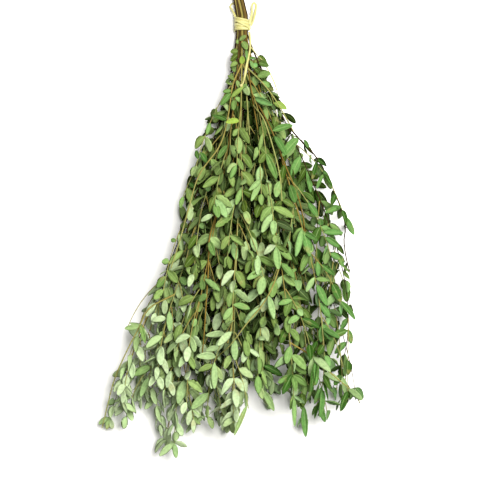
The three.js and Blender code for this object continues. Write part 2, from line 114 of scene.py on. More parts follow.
# The growth: lengths in millimetres, angles in radians.
# The stems of the lower rows in the tie get older, darker bark: painted shade for the stems that lie under
# the others.
STEM = SimpleNamespace(
    radius=1.74, spacing=16, spacing_variation=0.16, close_length=28, wear_and_shade=-0.07, low_row_shade=0.5, seed=1000,
)
STEM_HANDLES = (0.33, 0.7)
TWIG = SimpleNamespace(
    radius=0.95, spacing=12.5, length=112, length_variation=0.4, shortening=0.5, longest=1.12,
    fork=0.46, fork_variation=0.24, turn_variation=0.8, hang=1.7, root_share=0.7, leaving_share=0.45,
    hanging_share=0.52, handles=(0.36, 0.3),
)
TWIG_SIDES = (2, 0, 1)
NODES_PER_SOLID_NODE = 3
FIRST_NODE = 12
LAST_NODE = 0.95
LEAF = SimpleNamespace(
    length=25, width=9.8, variation=0.24, ridge=1.2, least_ridge=1.08, tilt=0.9, tilt_variation=0.36,
    tip_tilt=0.92, turn_variation=0.4, droop=0.22, smallest=0.6, size_start=0.18, size_span=0.74,
    width_power=0.9, draws=7, seed=5, limp_factor=5.7,
)
LOOK = SimpleNamespace(
    outward=0.006, level=26, upward=0.03, forward=0.35, random=1.5, pressed=3, pressed_below=15
)
FLOOR_GAP = 0.3
LEAF_TRIES = 4
GOLDEN_SHARE = 0.618
ROOTED_SHARE = 0.28
FORK_BALLS = 3
CELL = 12

# How much room the solid leaves take, and how much the thin ones that are drawn.
SOLID = SimpleNamespace(
    step=2.2, blade=1.3, shoot=0.4, ease=1.2, lift=LEAF.ridge / 3, low=LEAF.least_ridge, droop=LEAF.droop,
    tilt=LEAF.tilt, tilt_variation=LEAF.tilt_variation, kept_length=0, longer=1, wider=1,
    rounder=0, random=LOOK.random, stiffness=0,
)
FINE = SimpleNamespace(
    step=1.7, blade=0.62, shoot=0.1, ease=0.4, lift=0, low=0.35, droop=0.46, tilt=0.88, tilt_variation=1.2,
    kept_length=1, longer=0.93, wider=1.14, rounder=1, random=3.2, stiffness=0.75,
)
# Leaves grow rounder towards the tie, between these two places along the bunch.
ROUND_PLACES = (110, 215)
ROUND = SimpleNamespace(shorter=0.3, wider=0.22)
CLOSE_LEAF_SIZE = 0.62
# The share of the leaves that have fallen, in all and by region.
LOSS = SimpleNamespace(
    base=0.08, right=0.36, right_of=72, left=0.14, left_of=-70, upper=0.2, above=60, top=210, upper_over=40,
    factors=(7.31, 3.17),
)
FINE_TRIES = 6
# Where the nodes bear leaves on all four sides: near the tie and low in the bunch.
RING = SimpleNamespace(above=70, below=45)
EXTRA_TWIG = SimpleNamespace(share=0.8, right_share=0.55, length=0.82, seed=500)
BOX_MARGIN = 1.5
PATCH = 15

# Each stem: its row and place in the tie, its tip, the sideways swing and the rise of its line at a third and
# at two thirds of the way, the share from which it is leafy, and how many twigs its solid has.
STEMS = (
    (2, -1, (-74, -204, 44), (-6, -50), (78, 118), 0.05, 7),
    (2, 0, (-10, -226, 50), (2, -8), (84, 128), 0.05, 7),
    (2, 1, (60, -204, 44), (18, 72), (78, 118), 0.05, 7),
    (1, -1.5, (-118, -186, 34), (-12, -80), (50, 92), 0.2, 6),
    (1, -0.5, (-42, -220, 38), (-2, -28), (58, 94), 0.2, 4),
    (1, 0.5, (28, -194, 38), (10, 32), (58, 94), 0.14, 4),
    (1, 1.5, (98, -206, 34), (38, 128), (54, 92), 0.05, 7),
    (0, -2, (-164, -222, 14), (-21, -113), (26, 60), 0.45, 5),
    (0, -1, (-94, -250, 14), (-10, -62), (32, 64), 0.3, 4),
    (0, 0, (2, -232, 22), (4, 2), (36, 70), 0.3, 3),
    (0, 1, (78, -222, 20), (22, 94), (34, 68), 0.24, 4),
    (0, 2, (116, -184, 22), (62, 180), (30, 66), 0.05, 7),
    (-1, -1.5, (-126, -150, 12), (-14, -84), (10, 34), 0.24, 4),
    (-1, -0.5, (-56, -212, 10), (-4, -34), (14, 38), 0.3, 4),
    (-1, 0.5, (36, -210, 10), (12, 42), (14, 38), 0.3, 4),
    (-1, 1.5, (144, -186, 12), (36, 122), (10, 34), 0.16, 6),
    (-2, -1, (-84, -164, 6), (-8, -52), (5, 12), 0.3, 4),
    (-2, 0, (8, -188, 6), (4, 8), (5, 12), 0.36, 4),
    (-2, 1, (84, -160, 6), (26, 92), (5, 12), 0.3, 4),
)

# The free strands of raffia, by the same points as their solids.
STRANDS = {
    "raffia_loop_right": (1.1, (
        (12.6, 270.2, 14.3), (13.4, 276, 13.6), (14.8, 283, 10.5), (15, 290, 6), (15.4, 295.4, 2.6),
        (17.6, 298.2, 1.2), (20, 296.4, 1), (19.8, 290, 2.4), (18.3, 282, 6), (16.6, 275.5, 9.4),
        (15, 271, 11.4), (13.8, 268.6, 12.4),
    )),
    "raffia_loop_left": (1.1, (
        (-5.9, 279.7, 13.4), (-7, 282.5, 11.6), (-9, 287, 8), (-11, 290.6, 4.8), (-12.2, 293.4, 2.6),
        (-11.2, 296.2, 1.2), (-8.4, 297.6, 0.9), (-5, 296.8, 0.9), (-2, 293.5, 0.95), (0, 288.5, 1),
        (1.6, 283, 1.1), (2.3, 279.7, 1.2),
    )),
    "raffia_tail": (2.4, (
        (11.7, 260.6, 14.9), (12.5, 252, 18.4), (12.6, 241, 23), (11.6, 233, 27.6), (10, 225, 32.4),
        (8, 215, 35.8), (6.2, 206, 38.6), (5, 200, 41), (3.8, 195, 44.2), (2.4, 192.9, 45.6),
    )),
    "raffia_tail_fine": (0.9, (
        (14.1, 240.5, 22.3), (17.5, 236, 20.4), (22.5, 230, 18.6), (27.5, 225, 17.5), (33.8, 215, 16.8),
        (38.8, 206, 16.4), (43.8, 195, 16), (47.5, 181, 15.6), (48.8, 175, 15.2),
    )),
}
TAIL_KNOT = SimpleNamespace(at=(1.3, 190.9, 46.8), radii=(2.6, 2.2, 2.1))
BOW_KNOT = SimpleNamespace(at=(11.4, 265.2, 14.9), radii=(2.4, 3, 2.4))

# The outline seen from above: down the left side, along the lowest leaves and up the right side.
OUTLINE = np.array([
    (-11, 244), (-12, 225), (-19, 195), (-26, 165), (-55, 138), (-54, 105), (-64, 75), (-74, 45), (-75, 15),
    (-82, -15), (-101, -45), (-110, -75), (-141, -105), (-134, -135), (-160, -165), (-171, -195),
    (-179, -231), (-169, -249), (-138, -234), (-112, -239), (-106, -275), (-84, -280), (-56, -251),
    (-35, -235), (-21, -242), (-10, -251), (-4, -238), (8, -200), (15, -175), (24, -190), (34, -215),
    (44, -204), (55, -185), (62, -201), (70, -231), (84, -248), (98, -225), (109, -234), (125, -216),
    (132, -198), (152, -210), (156, -189), (138, -165), (131, -135), (140, -105), (136, -75), (135, -45),
    (134, -15), (142, 10), (125, 44), (112, 75), (101, 105), (72, 135), (61, 164), (40, 195), (38, 226),
    (28, 245),
])
SOLID_SHARE_INSIDE = 0.6

# A view from straight above, in which the leaves and twigs that lie on top are placed.
VIEW = SimpleNamespace(middle=240, unit=1.25)
# Long twigs on top of the rest: the share from which each is leafy, how pale its leaves are, how dark its
# bark is, and its course in the view.
LONG_TWIGS = (
    (0.86, 0.1, 0.1, (
        (241, 66), (233, 86), (229, 113), (221, 145), (200, 176), (189, 211), (181, 240), (172, 268),
    )),
    (0.62, 0.0, -0.2, (
        (252, 72), (262, 84), (273, 98), (284, 116), (293, 132),
    )),
    (0.66, 0.0, -0.3, (
        (254, 100), (264, 124), (274, 156), (279, 178), (281, 202),
    )),
    (0.74, -0.1, 0.5, (
        (258, 92), (270, 130), (284, 165), (298, 199), (304, 226), (306, 252),
    )),
    (0.3, -0.5, 0.9, (
        (290, 128), (300, 141), (315, 157), (333, 190), (345, 226), (344, 241), (346, 258), (349, 271),
    )),
    (0.2, 0.3, 0.0, (
        (301, 336), (312, 355), (326, 368), (340, 380), (354, 392), (359, 402),
    )),
    (0.3, 0.3, 0.0, (
        (273, 262), (272, 285), (262, 303), (246, 322), (231, 342), (216, 358), (209, 378),
    )),
    (0.2, 0.2, 0.1, (
        (163, 284), (150, 308), (140, 327), (127, 352), (115, 380), (108, 405), (102, 428),
    )),
    (0.5, 0.1, 0.3, (
        (241, 226), (235, 262), (234, 290), (233, 316), (228, 340),
    )),
    (0.45, 0.1, 0.5, (
        (213, 214), (210, 240), (209, 270), (207, 300), (205, 330), (203, 352),
    )),
)
# Leaves that show on top: root, tip and width in the view, how pale, which side's colour, and the curl.
SEEN_LEAVES = (
    (236, 32, 246, 36, 5, 0.55, 1, 0), (240, 34, 236, 43, 5, 0.4, 1, 2),
    (243, 38, 247, 50, 7, 0.45, 0.8, 0), (237, 50, 230, 52, 6, 0.15, 1, 1), (236, 53, 231, 62, 6, 0, 1, 5),
    (236, 62, 230, 68, 5, 0.45, 1, 1), (241, 65, 242, 57, 6, 1, 2, 2), (246, 50, 246, 63, 3, 0.6, 0.3, 1),
    (258, 58, 257, 69, 8, 0.8, 0, 3), (263, 60, 270, 67, 7, 0.2, 0.6, 2),
    (258, 70, 270, 75, 8, 0.6, 0.6, 0), (254, 68, 262, 76, 5, 0.1, 0.6, 1),
    (264, 77, 270, 88, 7, 0.5, 0.4, 3), (250, 59, 253, 69, 4, 0.7, 0.3, 0),
    (254, 52, 256, 59, 3, 0.3, 0.1, 1), (234, 80, 228, 77, 4, 0.35, 1, 0), (232, 86, 226, 84, 3, 0.4, 1, 1),
    (231, 91, 223, 93, 5, 0.35, 0.4, 0), (230, 100, 242, 91, 6, 0.55, 1.5, 3),
    (236, 98, 242, 103, 5, 0.6, 0.5, 0), (237, 101, 234, 113, 6, 0.4, 0.6, 1),
    (229, 94, 221, 107, 7, 0.3, 0.2, 0), (236, 119, 226, 125, 6, 1, 2, 2),
    (254, 99, 273, 107, 8, 0.8, 0.1, 1), (279, 100, 287, 110, 7, 0.5, 1.5, 2),
    (276, 131, 294, 127, 7, 0.35, 0.1, 1), (221, 118, 207, 115, 5, 0.15, 0.1, 1),
    (216, 126, 207, 136, 5, 0.5, 0.3, 0), (206, 162, 197, 151, 5, 0.1, 0.1, 1),
    (245, 88, 249, 84, 4, 0.6, 0.6, 0), (298, 140, 280, 160, 9, 0.52, 0.15, 1),
    (298, 158, 291, 177, 10, 0.46, 0.1, 0), (258, 167, 258, 185, 8, 0.9, 0.5, 0),
    (253, 180, 246, 193, 6, 0.8, 0.6, 1), (256, 184, 251, 202, 6, 0.75, 0.6, 0),
    (226, 199, 227, 218, 9, 0.85, 0.5, 0), (239, 188, 236, 206, 6, 0.6, 0.5, 0),
    (199, 181, 208, 191, 7, 0.7, 0.3, 3), (261, 214, 261, 233, 8, 0.85, 0.7, 0),
    (271, 220, 272, 235, 7, 0.85, 0.6, 2), (227, 168, 231, 180, 6, 0.6, 0.3, 3),
    (333, 194, 330, 207, 6, 0, 0, 1), (314, 161, 311, 180, 5, 0, 0, 1), (316, 160, 328, 169, 5, 0.05, 0, 5),
    (339, 207, 324, 213, 6, 0.42, 0.1, 0), (345, 227, 355, 241, 7, 0.6, 0, 0),
    (256, 233, 256, 252, 7, 0.85, 0.7, 0), (257, 253, 257, 274, 7, 0.95, 0.7, 0),
    (291, 231, 297, 252, 8, 0.75, 0.3, 3), (264, 275, 259, 293, 10, 0.8, 0.6, 0),
    (231, 242, 236, 259, 8, 0.8, 0.5, 0), (272, 256, 278, 275, 8, 0.75, 0.5, 1),
    (273, 296, 273, 316, 7, 0.9, 0.6, 0), (253, 272, 241, 281, 7, 0.7, 0.5, 1),
    (282, 262, 290, 275, 8, 0.6, 0.3, 3), (303, 278, 304, 293, 6, 0.85, 0.6, 0),
    (210, 278, 219, 289, 7, 0.7, 0.5, 3), (170, 309, 171, 330, 7, 0.8, 0.6, 0),
    (216, 327, 201, 333, 8, 0.95, 0.8, 0), (207, 321, 193, 325, 6, 0.7, 0.5, 1),
    (237, 335, 219, 341, 8, 1, 0.9, 0), (217, 354, 198, 353, 8, 1, 0.8, 2),
    (224, 346, 206, 348, 6, 0.95, 0.8, 1), (240, 338, 235, 358, 8, 0.9, 0.6, 0),
    (258, 309, 243, 323, 8, 0.95, 0.6, 3), (248, 324, 247, 342, 6, 0.85, 0.6, 0),
    (217, 359, 215, 386, 7, 0.9, 0.7, 0), (296, 341, 285, 361, 9, 0.65, 0.4, 0),
    (312, 355, 328, 368, 8, 0.95, 0.8, 0), (311, 357, 308, 374, 6, 0.9, 0.8, 1),
    (324, 371, 339, 380, 7, 0.9, 0.8, 0), (335, 381, 345, 395, 6, 0.85, 0.7, 1),
    (348, 387, 360, 397, 7, 0.85, 0.7, 0), (139, 325, 126, 327, 6, 0.8, 0.8, 1),
    (142, 325, 147, 343, 5, 0.6, 0.5, 1), (145, 364, 132, 375, 9, 0.7, 0.6, 3),
    (141, 375, 141, 396, 7, 0.85, 0.6, 0), (191, 381, 179, 402, 10, 0.9, 0.7, 0),
    (201, 392, 190, 409, 9, 0.85, 0.7, 2), (171, 452, 155, 458, 7, 0.95, 0.8, 0),
    (180, 449, 167, 447, 5, 0.85, 0.8, 1), (190, 447, 177, 456, 6, 0.9, 0.6, 0),
    (104, 427, 93, 428, 6, 0.85, 0.8, 0), (104, 428, 105, 439, 5, 0.8, 0.8, 1),
    (307, 406, 306, 437, 7, 0.5, 0, 1), (316, 416, 327, 427, 6, 0.4, 0, 1),
    (336, 390, 335, 412, 7, 0.05, 0, 5), (257, 373, 258, 390, 8, 0.6, 0.4, 0),
    (268, 390, 274, 410, 7, 0.8, 0.7, 1), (240, 402, 234, 432, 5, 0.75, 0.9, 1),
    (324, 232, 342, 233, 7, 0.45, 0, 0), (324, 238, 339, 247, 7, 0.36, 0, 1),
    (327, 255, 339, 259, 7, 0.45, 0, 0), (302, 230, 308, 252, 10, 0.5, 0, 3),
    (308, 230, 317, 241, 6, 0.4, 0, 1), (293, 275, 301, 264, 5, 0.6, 0.5, 1),
    (314, 262, 317, 276, 6, 0.45, 0, 0), (322, 262, 333, 275, 6, 0.2, 0, 5),
    (317, 282, 325, 304, 8, 0.5, 0, 0), (331, 284, 339, 301, 9, 0.1, 0, 2),
    (345, 296, 353, 319, 6, 0.3, 0, 1), (304, 303, 301, 314, 7, 0.85, 0.5, 0),
    (320, 301, 328, 317, 8, 0.55, 0, 3), (324, 320, 330, 339, 8, 0.5, 0, 0),
    (340, 325, 350, 343, 6, 0.3, 0, 1), (331, 324, 340, 337, 7, 0.5, 0, 0),
    (308, 314, 319, 328, 8, 0.05, 0, 3), (311, 352, 316, 339, 6, 0, 0, 1),
    (340, 210, 345, 226, 5, 0.05, 0, 1), (325, 210, 339, 207, 6, 0.42, 0.1, 0),
    (311, 200, 317, 218, 7, 0.3, 0, 0), (314, 229, 320, 218, 7, 0.5, 0, 1),
    (281, 186, 294, 203, 10, 0.3, 0.1, 0), (279, 203, 293, 218, 9, 0.5, 0.9, 3),
    (271, 157, 276, 181, 7, 0.35, 0.3, 1), (278, 135, 285, 157, 7, 0.4, 0, 0),
    (300, 170, 310, 193, 6, 0.45, 0, 1), (198, 151, 207, 164, 6, 0.1, 0, 1),
    (189, 183, 196, 189, 5, 0.1, 0, 5), (190, 200, 181, 209, 5, 0.6, 0.5, 1),
    (192, 222, 206, 227, 7, 0.7, 0.4, 0), (215, 204, 219, 218, 8, 0.5, 0.4, 0),
    (210, 241, 216, 256, 7, 0.45, 0.3, 1), (175, 262, 163, 261, 7, 0.65, 0.5, 0),
    (175, 265, 184, 250, 7, 0.6, 0.9, 3), (181, 242, 172, 239, 5, 0.35, 0.5, 1),
    (169, 275, 158, 287, 8, 0.3, 0.5, 0), (177, 275, 187, 284, 8, 0.65, 0.4, 0),
    (193, 287, 204, 278, 7, 0.6, 0.5, 1), (193, 296, 207, 293, 7, 0.6, 0.5, 0),
    (238, 302, 252, 307, 7, 0.65, 0.4, 0), (294, 298, 278, 302, 7, 0.65, 0.3, 3),
    (296, 317, 285, 323, 7, 0.7, 0.4, 1), (230, 305, 224, 317, 7, 0.7, 0.6, 0),
    (226, 146, 218, 160, 6, 0.3, 0.3, 1), (240, 130, 233, 138, 6, 0.45, 0.9, 0),
    (252, 134, 259, 152, 5, 0.5, 0.9, 3), (248, 158, 243, 172, 5, 0.4, 0.8, 1),
    (304, 144, 313, 155, 4, 0, 0, 6), (309, 149, 303, 140, 4, 0.35, 0.1, 1),
    (318, 160, 327, 168, 6, 0.15, 0, 5), (326, 167, 327, 175, 4, 0.35, 0, 1),
    (323, 174, 331, 187, 4, 0, 0, 6), (323, 174, 316, 190, 4, 0.4, 0.1, 1),
    (343, 241, 345, 257, 5, 0.12, 0.3, 5), (340, 254, 342, 267, 6, 0.45, 0.1, 1),
    (346, 260, 350, 273, 3, 0.55, 0.6, 1), (342, 271, 349, 279, 4, 0.35, 0.8, 1),
    (312, 340, 309, 357, 7, 0, 0, 2), (311, 364, 308, 393, 6, 0.1, 0, 1),
    (315, 366, 315, 388, 6, 0.5, 0, 1), (314, 386, 313, 403, 5, 0.4, 0, 1),
    (314, 402, 314, 421, 4, 0, 0, 5), (327, 390, 317, 416, 6, 0.48, 0, 1), (329, 384, 327, 401, 3, 0, 0, 1),
    (320, 375, 329, 387, 6, 0.05, 0.3, 2), (285, 372, 281, 391, 8, 0, 0, 2),
    (273, 366, 288, 377, 8, 0.05, 0, 3), (294, 372, 294, 389, 6, 0.5, 0.4, 1),
    (293, 390, 289, 403, 3, 0.4, 0.6, 6), (298, 399, 289, 407, 4, 0.6, 0.5, 0),
    (299, 401, 293, 424, 5, 0.7, 0.4, 6),
)
# How the leaves on top find their places, and how the long twigs do.
SEEN = SimpleNamespace(
    reach=14, preference=0.8, longest=1.15, pitches=(0.1, 0.3, -0.1, 0.5, 0.8), limp=0.3,
    covers=(3, 6, 9, 12, 16, 20, 25), cover_reach=1.5, dullness=0.82, first_seat=0.02, seat_gap=3, rock=0.2,
    passes=4,
)
LONG = SimpleNamespace(
    spacing=12, rise=8, cover_reach=2.6, around=9, lowest=8, seed=40000, stoutness=1.55, smoothings=2,
)

# A leaf sinks towards the hanging end and a little down.
HANG = np.array([0, -1, -0.12]) / math.hypot(1, 0.12)
UP = Vector((0, 0, 1))
SEED_STEP = 10
# The numbers of the repeatable stream that all chance comes from.
STREAM = SimpleNamespace(factor=1664525, addend=1013904223, size=4294967296, skipped=4)
POINTS_PER_STRETCH = 24


def inside_outline(points):
    """Whether each point lies within the outline, seen from above."""
    x, y = points[:, :1], points[:, 1:2]
    (x1, y1), (x2, y2) = OUTLINE.T, np.roll(OUTLINE, -1, axis=0).T
    crossed = ((y1 > y) != (y2 > y)) & (x < (x2 - x1) * (y - y1) / (y2 - y1) + x1)
    return crossed.sum(axis=1) % 2 == 1


def placed(points):
    """Drawing coordinates in millimetres as places in the frame, in metres."""
    return np.asarray(points, float) * MM + SHIFT


def varied(draw, variation):
    return 1 + variation * (draw - 0.5)


def drawn(random, count):
    return [next(random) for _ in range(count)]


def seeded(seed):
    """A repeatable stream of numbers from 0 to 1. The first few follow the seed too closely."""
    state = seed
    for step in itertools.count():
        state = (state * STREAM.factor + STREAM.addend) % STREAM.size
        if step >= STREAM.skipped:
            yield state / STREAM.size


class Bend:
    """A cubic curve with its length, read by the share of the way along it."""

    steps = np.linspace(0, 1, 201)
    nudge = 1e-4

    def __init__(self, *corners):
        self.corners = np.array(corners, float)
        gaps = np.linalg.norm(np.diff(self.at(self.steps), axis=0), axis=1)
        self.lengths = np.concatenate([[0], np.cumsum(gaps)])
        self.length = self.lengths[-1]

    def at(self, t):
        t = np.asarray(t)[..., None]
        weights = ((1 - t) ** 3, 3 * t * (1 - t) ** 2, 3 * t * t * (1 - t), t**3)
        return sum(weight * corner for weight, corner in zip(weights, self.corners))

    def time(self, share):
        return np.interp(np.asarray(share) * self.length, self.lengths, self.steps)

    def along(self, share):
        return self.at(self.time(share))

    def heading(self, share):
        t = self.time(share)
        low, high = max(0, t - self.nudge), min(1, t + self.nudge)
        return Vector(self.at(high) - self.at(low)).normalized()


class Course(Bend):
    """A smooth course through many points, read in the same way."""

    def __init__(self, route):
        self.line = strand_line(route, 1)
        super().__init__(*route)

    def at(self, t):
        shares = np.linspace(0, 1, len(self.line))
        return np.stack([np.interp(t, shares, self.line[:, axis]) for axis in range(3)], axis=-1)


def in_view(x, y):
    """A place in the view as drawing coordinates in millimetres."""
    return np.array([(x - VIEW.middle) * VIEW.unit, (VIEW.middle - y) * VIEW.unit])


def spaced(corners, step):
    """Evenly spaced points on the straight lines through these corners."""
    corners = np.array(corners, float)
    lengths = np.concatenate([[0], np.cumsum(np.linalg.norm(np.diff(corners, axis=0), axis=1))])
    places = np.linspace(0, lengths[-1], math.ceil(lengths[-1] / step) + 1)
    return np.stack([np.interp(places, lengths, corners[:, axis]) for axis in range(3)], axis=1)


def strand_line(route, step):
    """Evenly spaced points on the smooth line through a strand's route."""
    route = np.array(route, float)
    ends = (2 * route[0] - route[1], 2 * route[-1] - route[-2])
    points = np.vstack([ends[0], route, ends[1]])
    line = []
    for i in range(1, len(points) - 2):
        p0, p1, p2, p3 = points[i - 1 : i + 3]
        gaps = [max(1e-6, np.linalg.norm(b - a) ** 0.5) for a, b in ((p0, p1), (p1, p2), (p2, p3))]
        m1 = gaps[1] * ((p1 - p0) / gaps[0] - (p2 - p0) / (gaps[0] + gaps[1])) + p2 - p1
        m2 = gaps[1] * ((p3 - p2) / gaps[2] - (p3 - p1) / (gaps[1] + gaps[2])) + p2 - p1
        t = np.linspace(0, 1, POINTS_PER_STRETCH, endpoint=False)[:, None]
        hermite = (2 * t**3 - 3 * t**2 + 1, t**3 - 2 * t**2 + t, 3 * t**2 - 2 * t**3, t**3 - t**2)
        line.append(hermite[0] * p1 + hermite[1] * m1 + hermite[2] * p2 + hermite[3] * m2)
    return spaced(np.vstack([*line, route[-1]]), step)


class Room:
    """The room that is taken, as balls: rows of a place, a reach and an owner, by the cell they are in."""

    def __init__(self, manners):
        self.manners = manners
        self.cells = {}
        self.owners = {None: -1}

    def take(self, points, reach, owner):
        number = self.owners.setdefault(owner, len(self.owners))
        for point in np.atleast_2d(points):
            key = tuple(int(along // CELL) for along in point)
            self.cells.setdefault(key, []).append((*point, reach, number))

    def is_free(self, points, reach, owner, rooted=None):
        """Whether balls touch nothing. Rooted ones may touch their own shoot, and others come close to it."""
        low = np.floor((points.min(axis=0) - CELL / 2) / CELL).astype(int)
        high = np.floor((points.max(axis=0) + CELL / 2) / CELL).astype(int)
        found = []
        for x in range(low[0], high[0] + 1):
            for y in range(low[1], high[1] + 1):
                for z in range(low[2], high[2] + 1):
                    found += self.cells.get((x, y, z), ())
        if not found:
            return True
        found = np.array(found)
        own = found[:, 4] == self.owners.get(owner, -2)
        limit = (found[:, 3] + reach - own * self.manners.ease) ** 2
        gaps = ((points[:, None, :] - found[None, :, :3]) ** 2).sum(axis=2)
        touching = gaps < limit
        if rooted is not None:
            touching &= ~(rooted[:, None] & own)
        return not touching.any()


TIED_FRAME = SimpleNamespace(forward=Vector((0, -1, 0)), right=Vector((1, 0, 0)), over=UP)


def side_direction(at, side):
    return (at.right, at.over, -at.right, -at.over)[side]


def leaving(at, side, turn, tilt):
    """The direction that leaves a shoot on one side, turned round the shoot and tilted away from it."""
    outward = Quaternion(at.forward, turn) @ side_direction(at, side)
    return (at.forward * math.cos(tilt) + outward * math.sin(tilt)).normalized()


def nodes_of(curve, spacing, start, leafy_share, close_length):
    """The nodes of a shoot from its root on, each with its number counted from the tip."""
    count = math.floor((curve.length - LAST_NODE - FIRST_NODE) / spacing) + 1
    nodes = []
    here = start
    for from_tip in range(count - 1, -1, -1):
        share = (curve.length - LAST_NODE - from_tip * spacing) / curve.length
        close = share * curve.length < close_length
        forward = curve.heading(share)
        turn = here.forward.rotation_difference(forward)
        here = SimpleNamespace(forward=forward, right=turn @ here.right, over=turn @ here.over)
        nodes.append(SimpleNamespace(
            from_tip=from_tip, share=share, at=Vector(curve.along(share)), frame=here, close=close,
            bare=close or share < leafy_share, solid=close or from_tip % NODES_PER_SOLID_NODE == 0,
            twigs=[], leaves=[], pair=None,
        ))
    return nodes


def solid_line(curve, nodes, step):
    """A shoot as its solid runs, straight from each of its solid nodes to the next."""
    corners = [curve.along(0), *(node.at for node in nodes if node.solid), curve.along(1)]
    return spaced(corners, step)


def planned_stem(index, row, place, tip, swing, rise, leafy, twig_count):
    seed = STEM.seed * (index + 1)
    random = seeded(seed)
    offset = np.array([place * STEM_PITCH, 0, row * ROW_HEIGHT])
    tied = TIE + offset
    cut_length = STUB.length + STUB.stagger * (2 * next(random) - 1)
    cut = tied + offset * (STUB.splay - 1) + [STUB.lean, cut_length, 0]
    cut[2] = max(cut[2], STEM.radius)
    above, leave = tied + [0, LEAVING_LENGTH, 0], tied - [0, LEAVING_LENGTH, 0]
    handles = [
        (swing[i], leave[1] + (tip[1] - leave[1]) * share, rise[i]) for i, share in enumerate(STEM_HANDLES)
    ]
    curve = Bend(leave, *handles, tip)
    spacing = STEM.spacing * varied(next(random), STEM.spacing_variation)
    nodes = nodes_of(curve, spacing, TIED_FRAME, leafy, STEM.close_length)
    return SimpleNamespace(
        index=index, seed=seed, name=f"stem {index}", kind=STEM, curve=curve, cut=cut, above=above,
        nodes=nodes, twig_count=twig_count, stoutness=1, paleness=0,
        # Older, darker bark the lower the stem's row in the tie: painted shade.
        wear_and_shade=STEM.wear_and_shade * row + STEM.low_row_shade * (row < 1),
    )


def planned_twig(draws, node, side, room, scale=1.0):
    """A twig that forks from a node and bends over to hang, or nothing where it has no room."""
    at = node.frame
    turn = TWIG.turn_variation * (draws[0] - 0.5)
    away = leaving(at, side, turn, TWIG.fork + TWIG.fork_variation * (draws[1] - 0.5))
    hanging = (away + Vector(HANG) * TWIG.hang).normalized()
    longest = TWIG.length * (TWIG.longest - TWIG.shortening * node.share)
    length = scale * longest * varied(draws[2], TWIG.length_variation)
    root = node.at + leaving(at, side, turn, math.pi / 2) * TWIG.root_share * STEM.radius
    tip = root + away * length * TWIG.leaving_share + hanging * length * TWIG.hanging_share
    tip.z = max(tip.z, TWIG.radius + FLOOR_GAP)
    curve = Bend(root, root + away * length * TWIG.handles[0], tip - hanging * length * TWIG.handles[1], tip)
    start = SimpleNamespace(
        forward=side_direction(at, side), right=side_direction(at, (side + 1) % 4), over=at.forward
    )
    nodes = nodes_of(curve, TWIG.spacing, start, 0, 0)
    line = solid_line(curve, nodes, room.manners.step)[FORK_BALLS:]
    reach = TWIG.radius + room.manners.shoot
    if line[:, 2].min() < reach or not room.is_free(line, reach, None):
        return None
    return SimpleNamespace(
        side=side, kind=TWIG, curve=curve, nodes=nodes, line=line, reach=reach, stoutness=1, paleness=0,
        wear_and_shade=0,
    )


def sides_from(number):
    """The sides to try for a twig, beginning with another one each time."""
    return [TWIG_SIDES[(number + i) % len(TWIG_SIDES)] for i in range(len(TWIG_SIDES))]


def settle(twig, node, name, seed, room):
    """Keeps a twig on its node and takes its room."""
    twig.name, twig.seed = name, seed
    room.take(twig.line, twig.reach, name)
    node.twigs.append(twig)


def bear_twig(stem, turn, room):
    """Gives the stem the twig of this turn, spread evenly over its solid nodes."""
    forks = [node for node in stem.nodes if node.solid and node.from_tip > 0 and not node.bare]
    if turn >= stem.twig_count or not forks:
        return
    node = forks[turn * len(forks) // stem.twig_count]
    if node.twigs:
        return
    seed = stem.seed + SEED_STEP * (turn + 1)
    random = seeded(seed)
    draws = drawn(random, 3)
    found = (planned_twig(draws, node, side, room) for side in sides_from(turn + stem.index))
    twig = next((twig for twig in found if twig), None)
    if twig:
        settle(twig, node, f"twig {stem.index}.{turn}", seed, room)


def bear_extra_twigs(stem, room):
    """Finer twigs from the nodes that the solid passes over."""
    first_seed = stem.seed + EXTRA_TWIG.seed
    random = seeded(first_seed)
    for node in stem.nodes:
        draws = drawn(random, 4)
        share = EXTRA_TWIG.share if node.at.x < LOSS.right_of else EXTRA_TWIG.right_share
        if node.bare or node.solid or draws[3] > share:
            continue
        sides = sides_from(node.from_tip)
        found = (planned_twig(draws, node, side, room, EXTRA_TWIG.length) for side in sides)
        twig = next((twig for twig in found if twig and inside_outline(twig.line).all()), None)
        if twig:
            seed = first_seed + SEED_STEP * node.from_tip
            settle(twig, node, f"{stem.name} fine {node.from_tip}", seed, room)


def planned_leaf(draws, node, side, manners):
    """Where one leaf is rooted, which way it points, and which way its upper face looks."""
    size = LEAF.smallest + (1 - LEAF.smallest) * math.sin(
        math.pi * (LEAF.size_start + node.share * LEAF.size_span)
    )
    if node.close:
        size *= CLOSE_LEAF_SIZE
    tip_tilt = LEAF.tip_tilt if node.from_tip == 0 else 1
    tilt = manners.tilt * tip_tilt + manners.tilt_variation * (draws[1] - 0.5)
    direction = leaving(node.frame, side, LEAF.turn_variation * (draws[0] - 0.5), tilt)
    upward = LOOK.pressed if node.at.z < LOOK.pressed_below else (node.at.z - LOOK.level) * LOOK.upward
    look = Vector((node.at.x * LOOK.outward, 0, upward))
    look += Vector([draw - 0.5 for draw in draws[2:5]]) * manners.random + node.frame.forward * LOOK.forward
    face = (look - direction * look.dot(direction)).normalized()
    if node.at.z < LEAF.length and face.z < 0:
        face.negate()
    return SimpleNamespace(
        side=side, root=np.array(node.at), direction=np.array(direction), face=np.array(face),
        across=np.array(face.cross(direction)), look={},
        limp=1 - manners.stiffness * (draws[4] * LEAF.limp_factor % 1),
        length=LEAF.length * size * varied(draws[5], LEAF.variation),
        width=LEAF.width * math.sqrt(size) * varied(draws[6], LEAF.variation),
    )


def blade_size(leaf, manners):
    rounder = manners.rounder * np.interp(leaf.root[1], ROUND_PLACES, (0, 1))
    length = leaf.length * manners.longer * (1 - ROUND.shorter * rounder)
    return length, leaf.width * manners.wider * (1 + ROUND.wider * rounder)


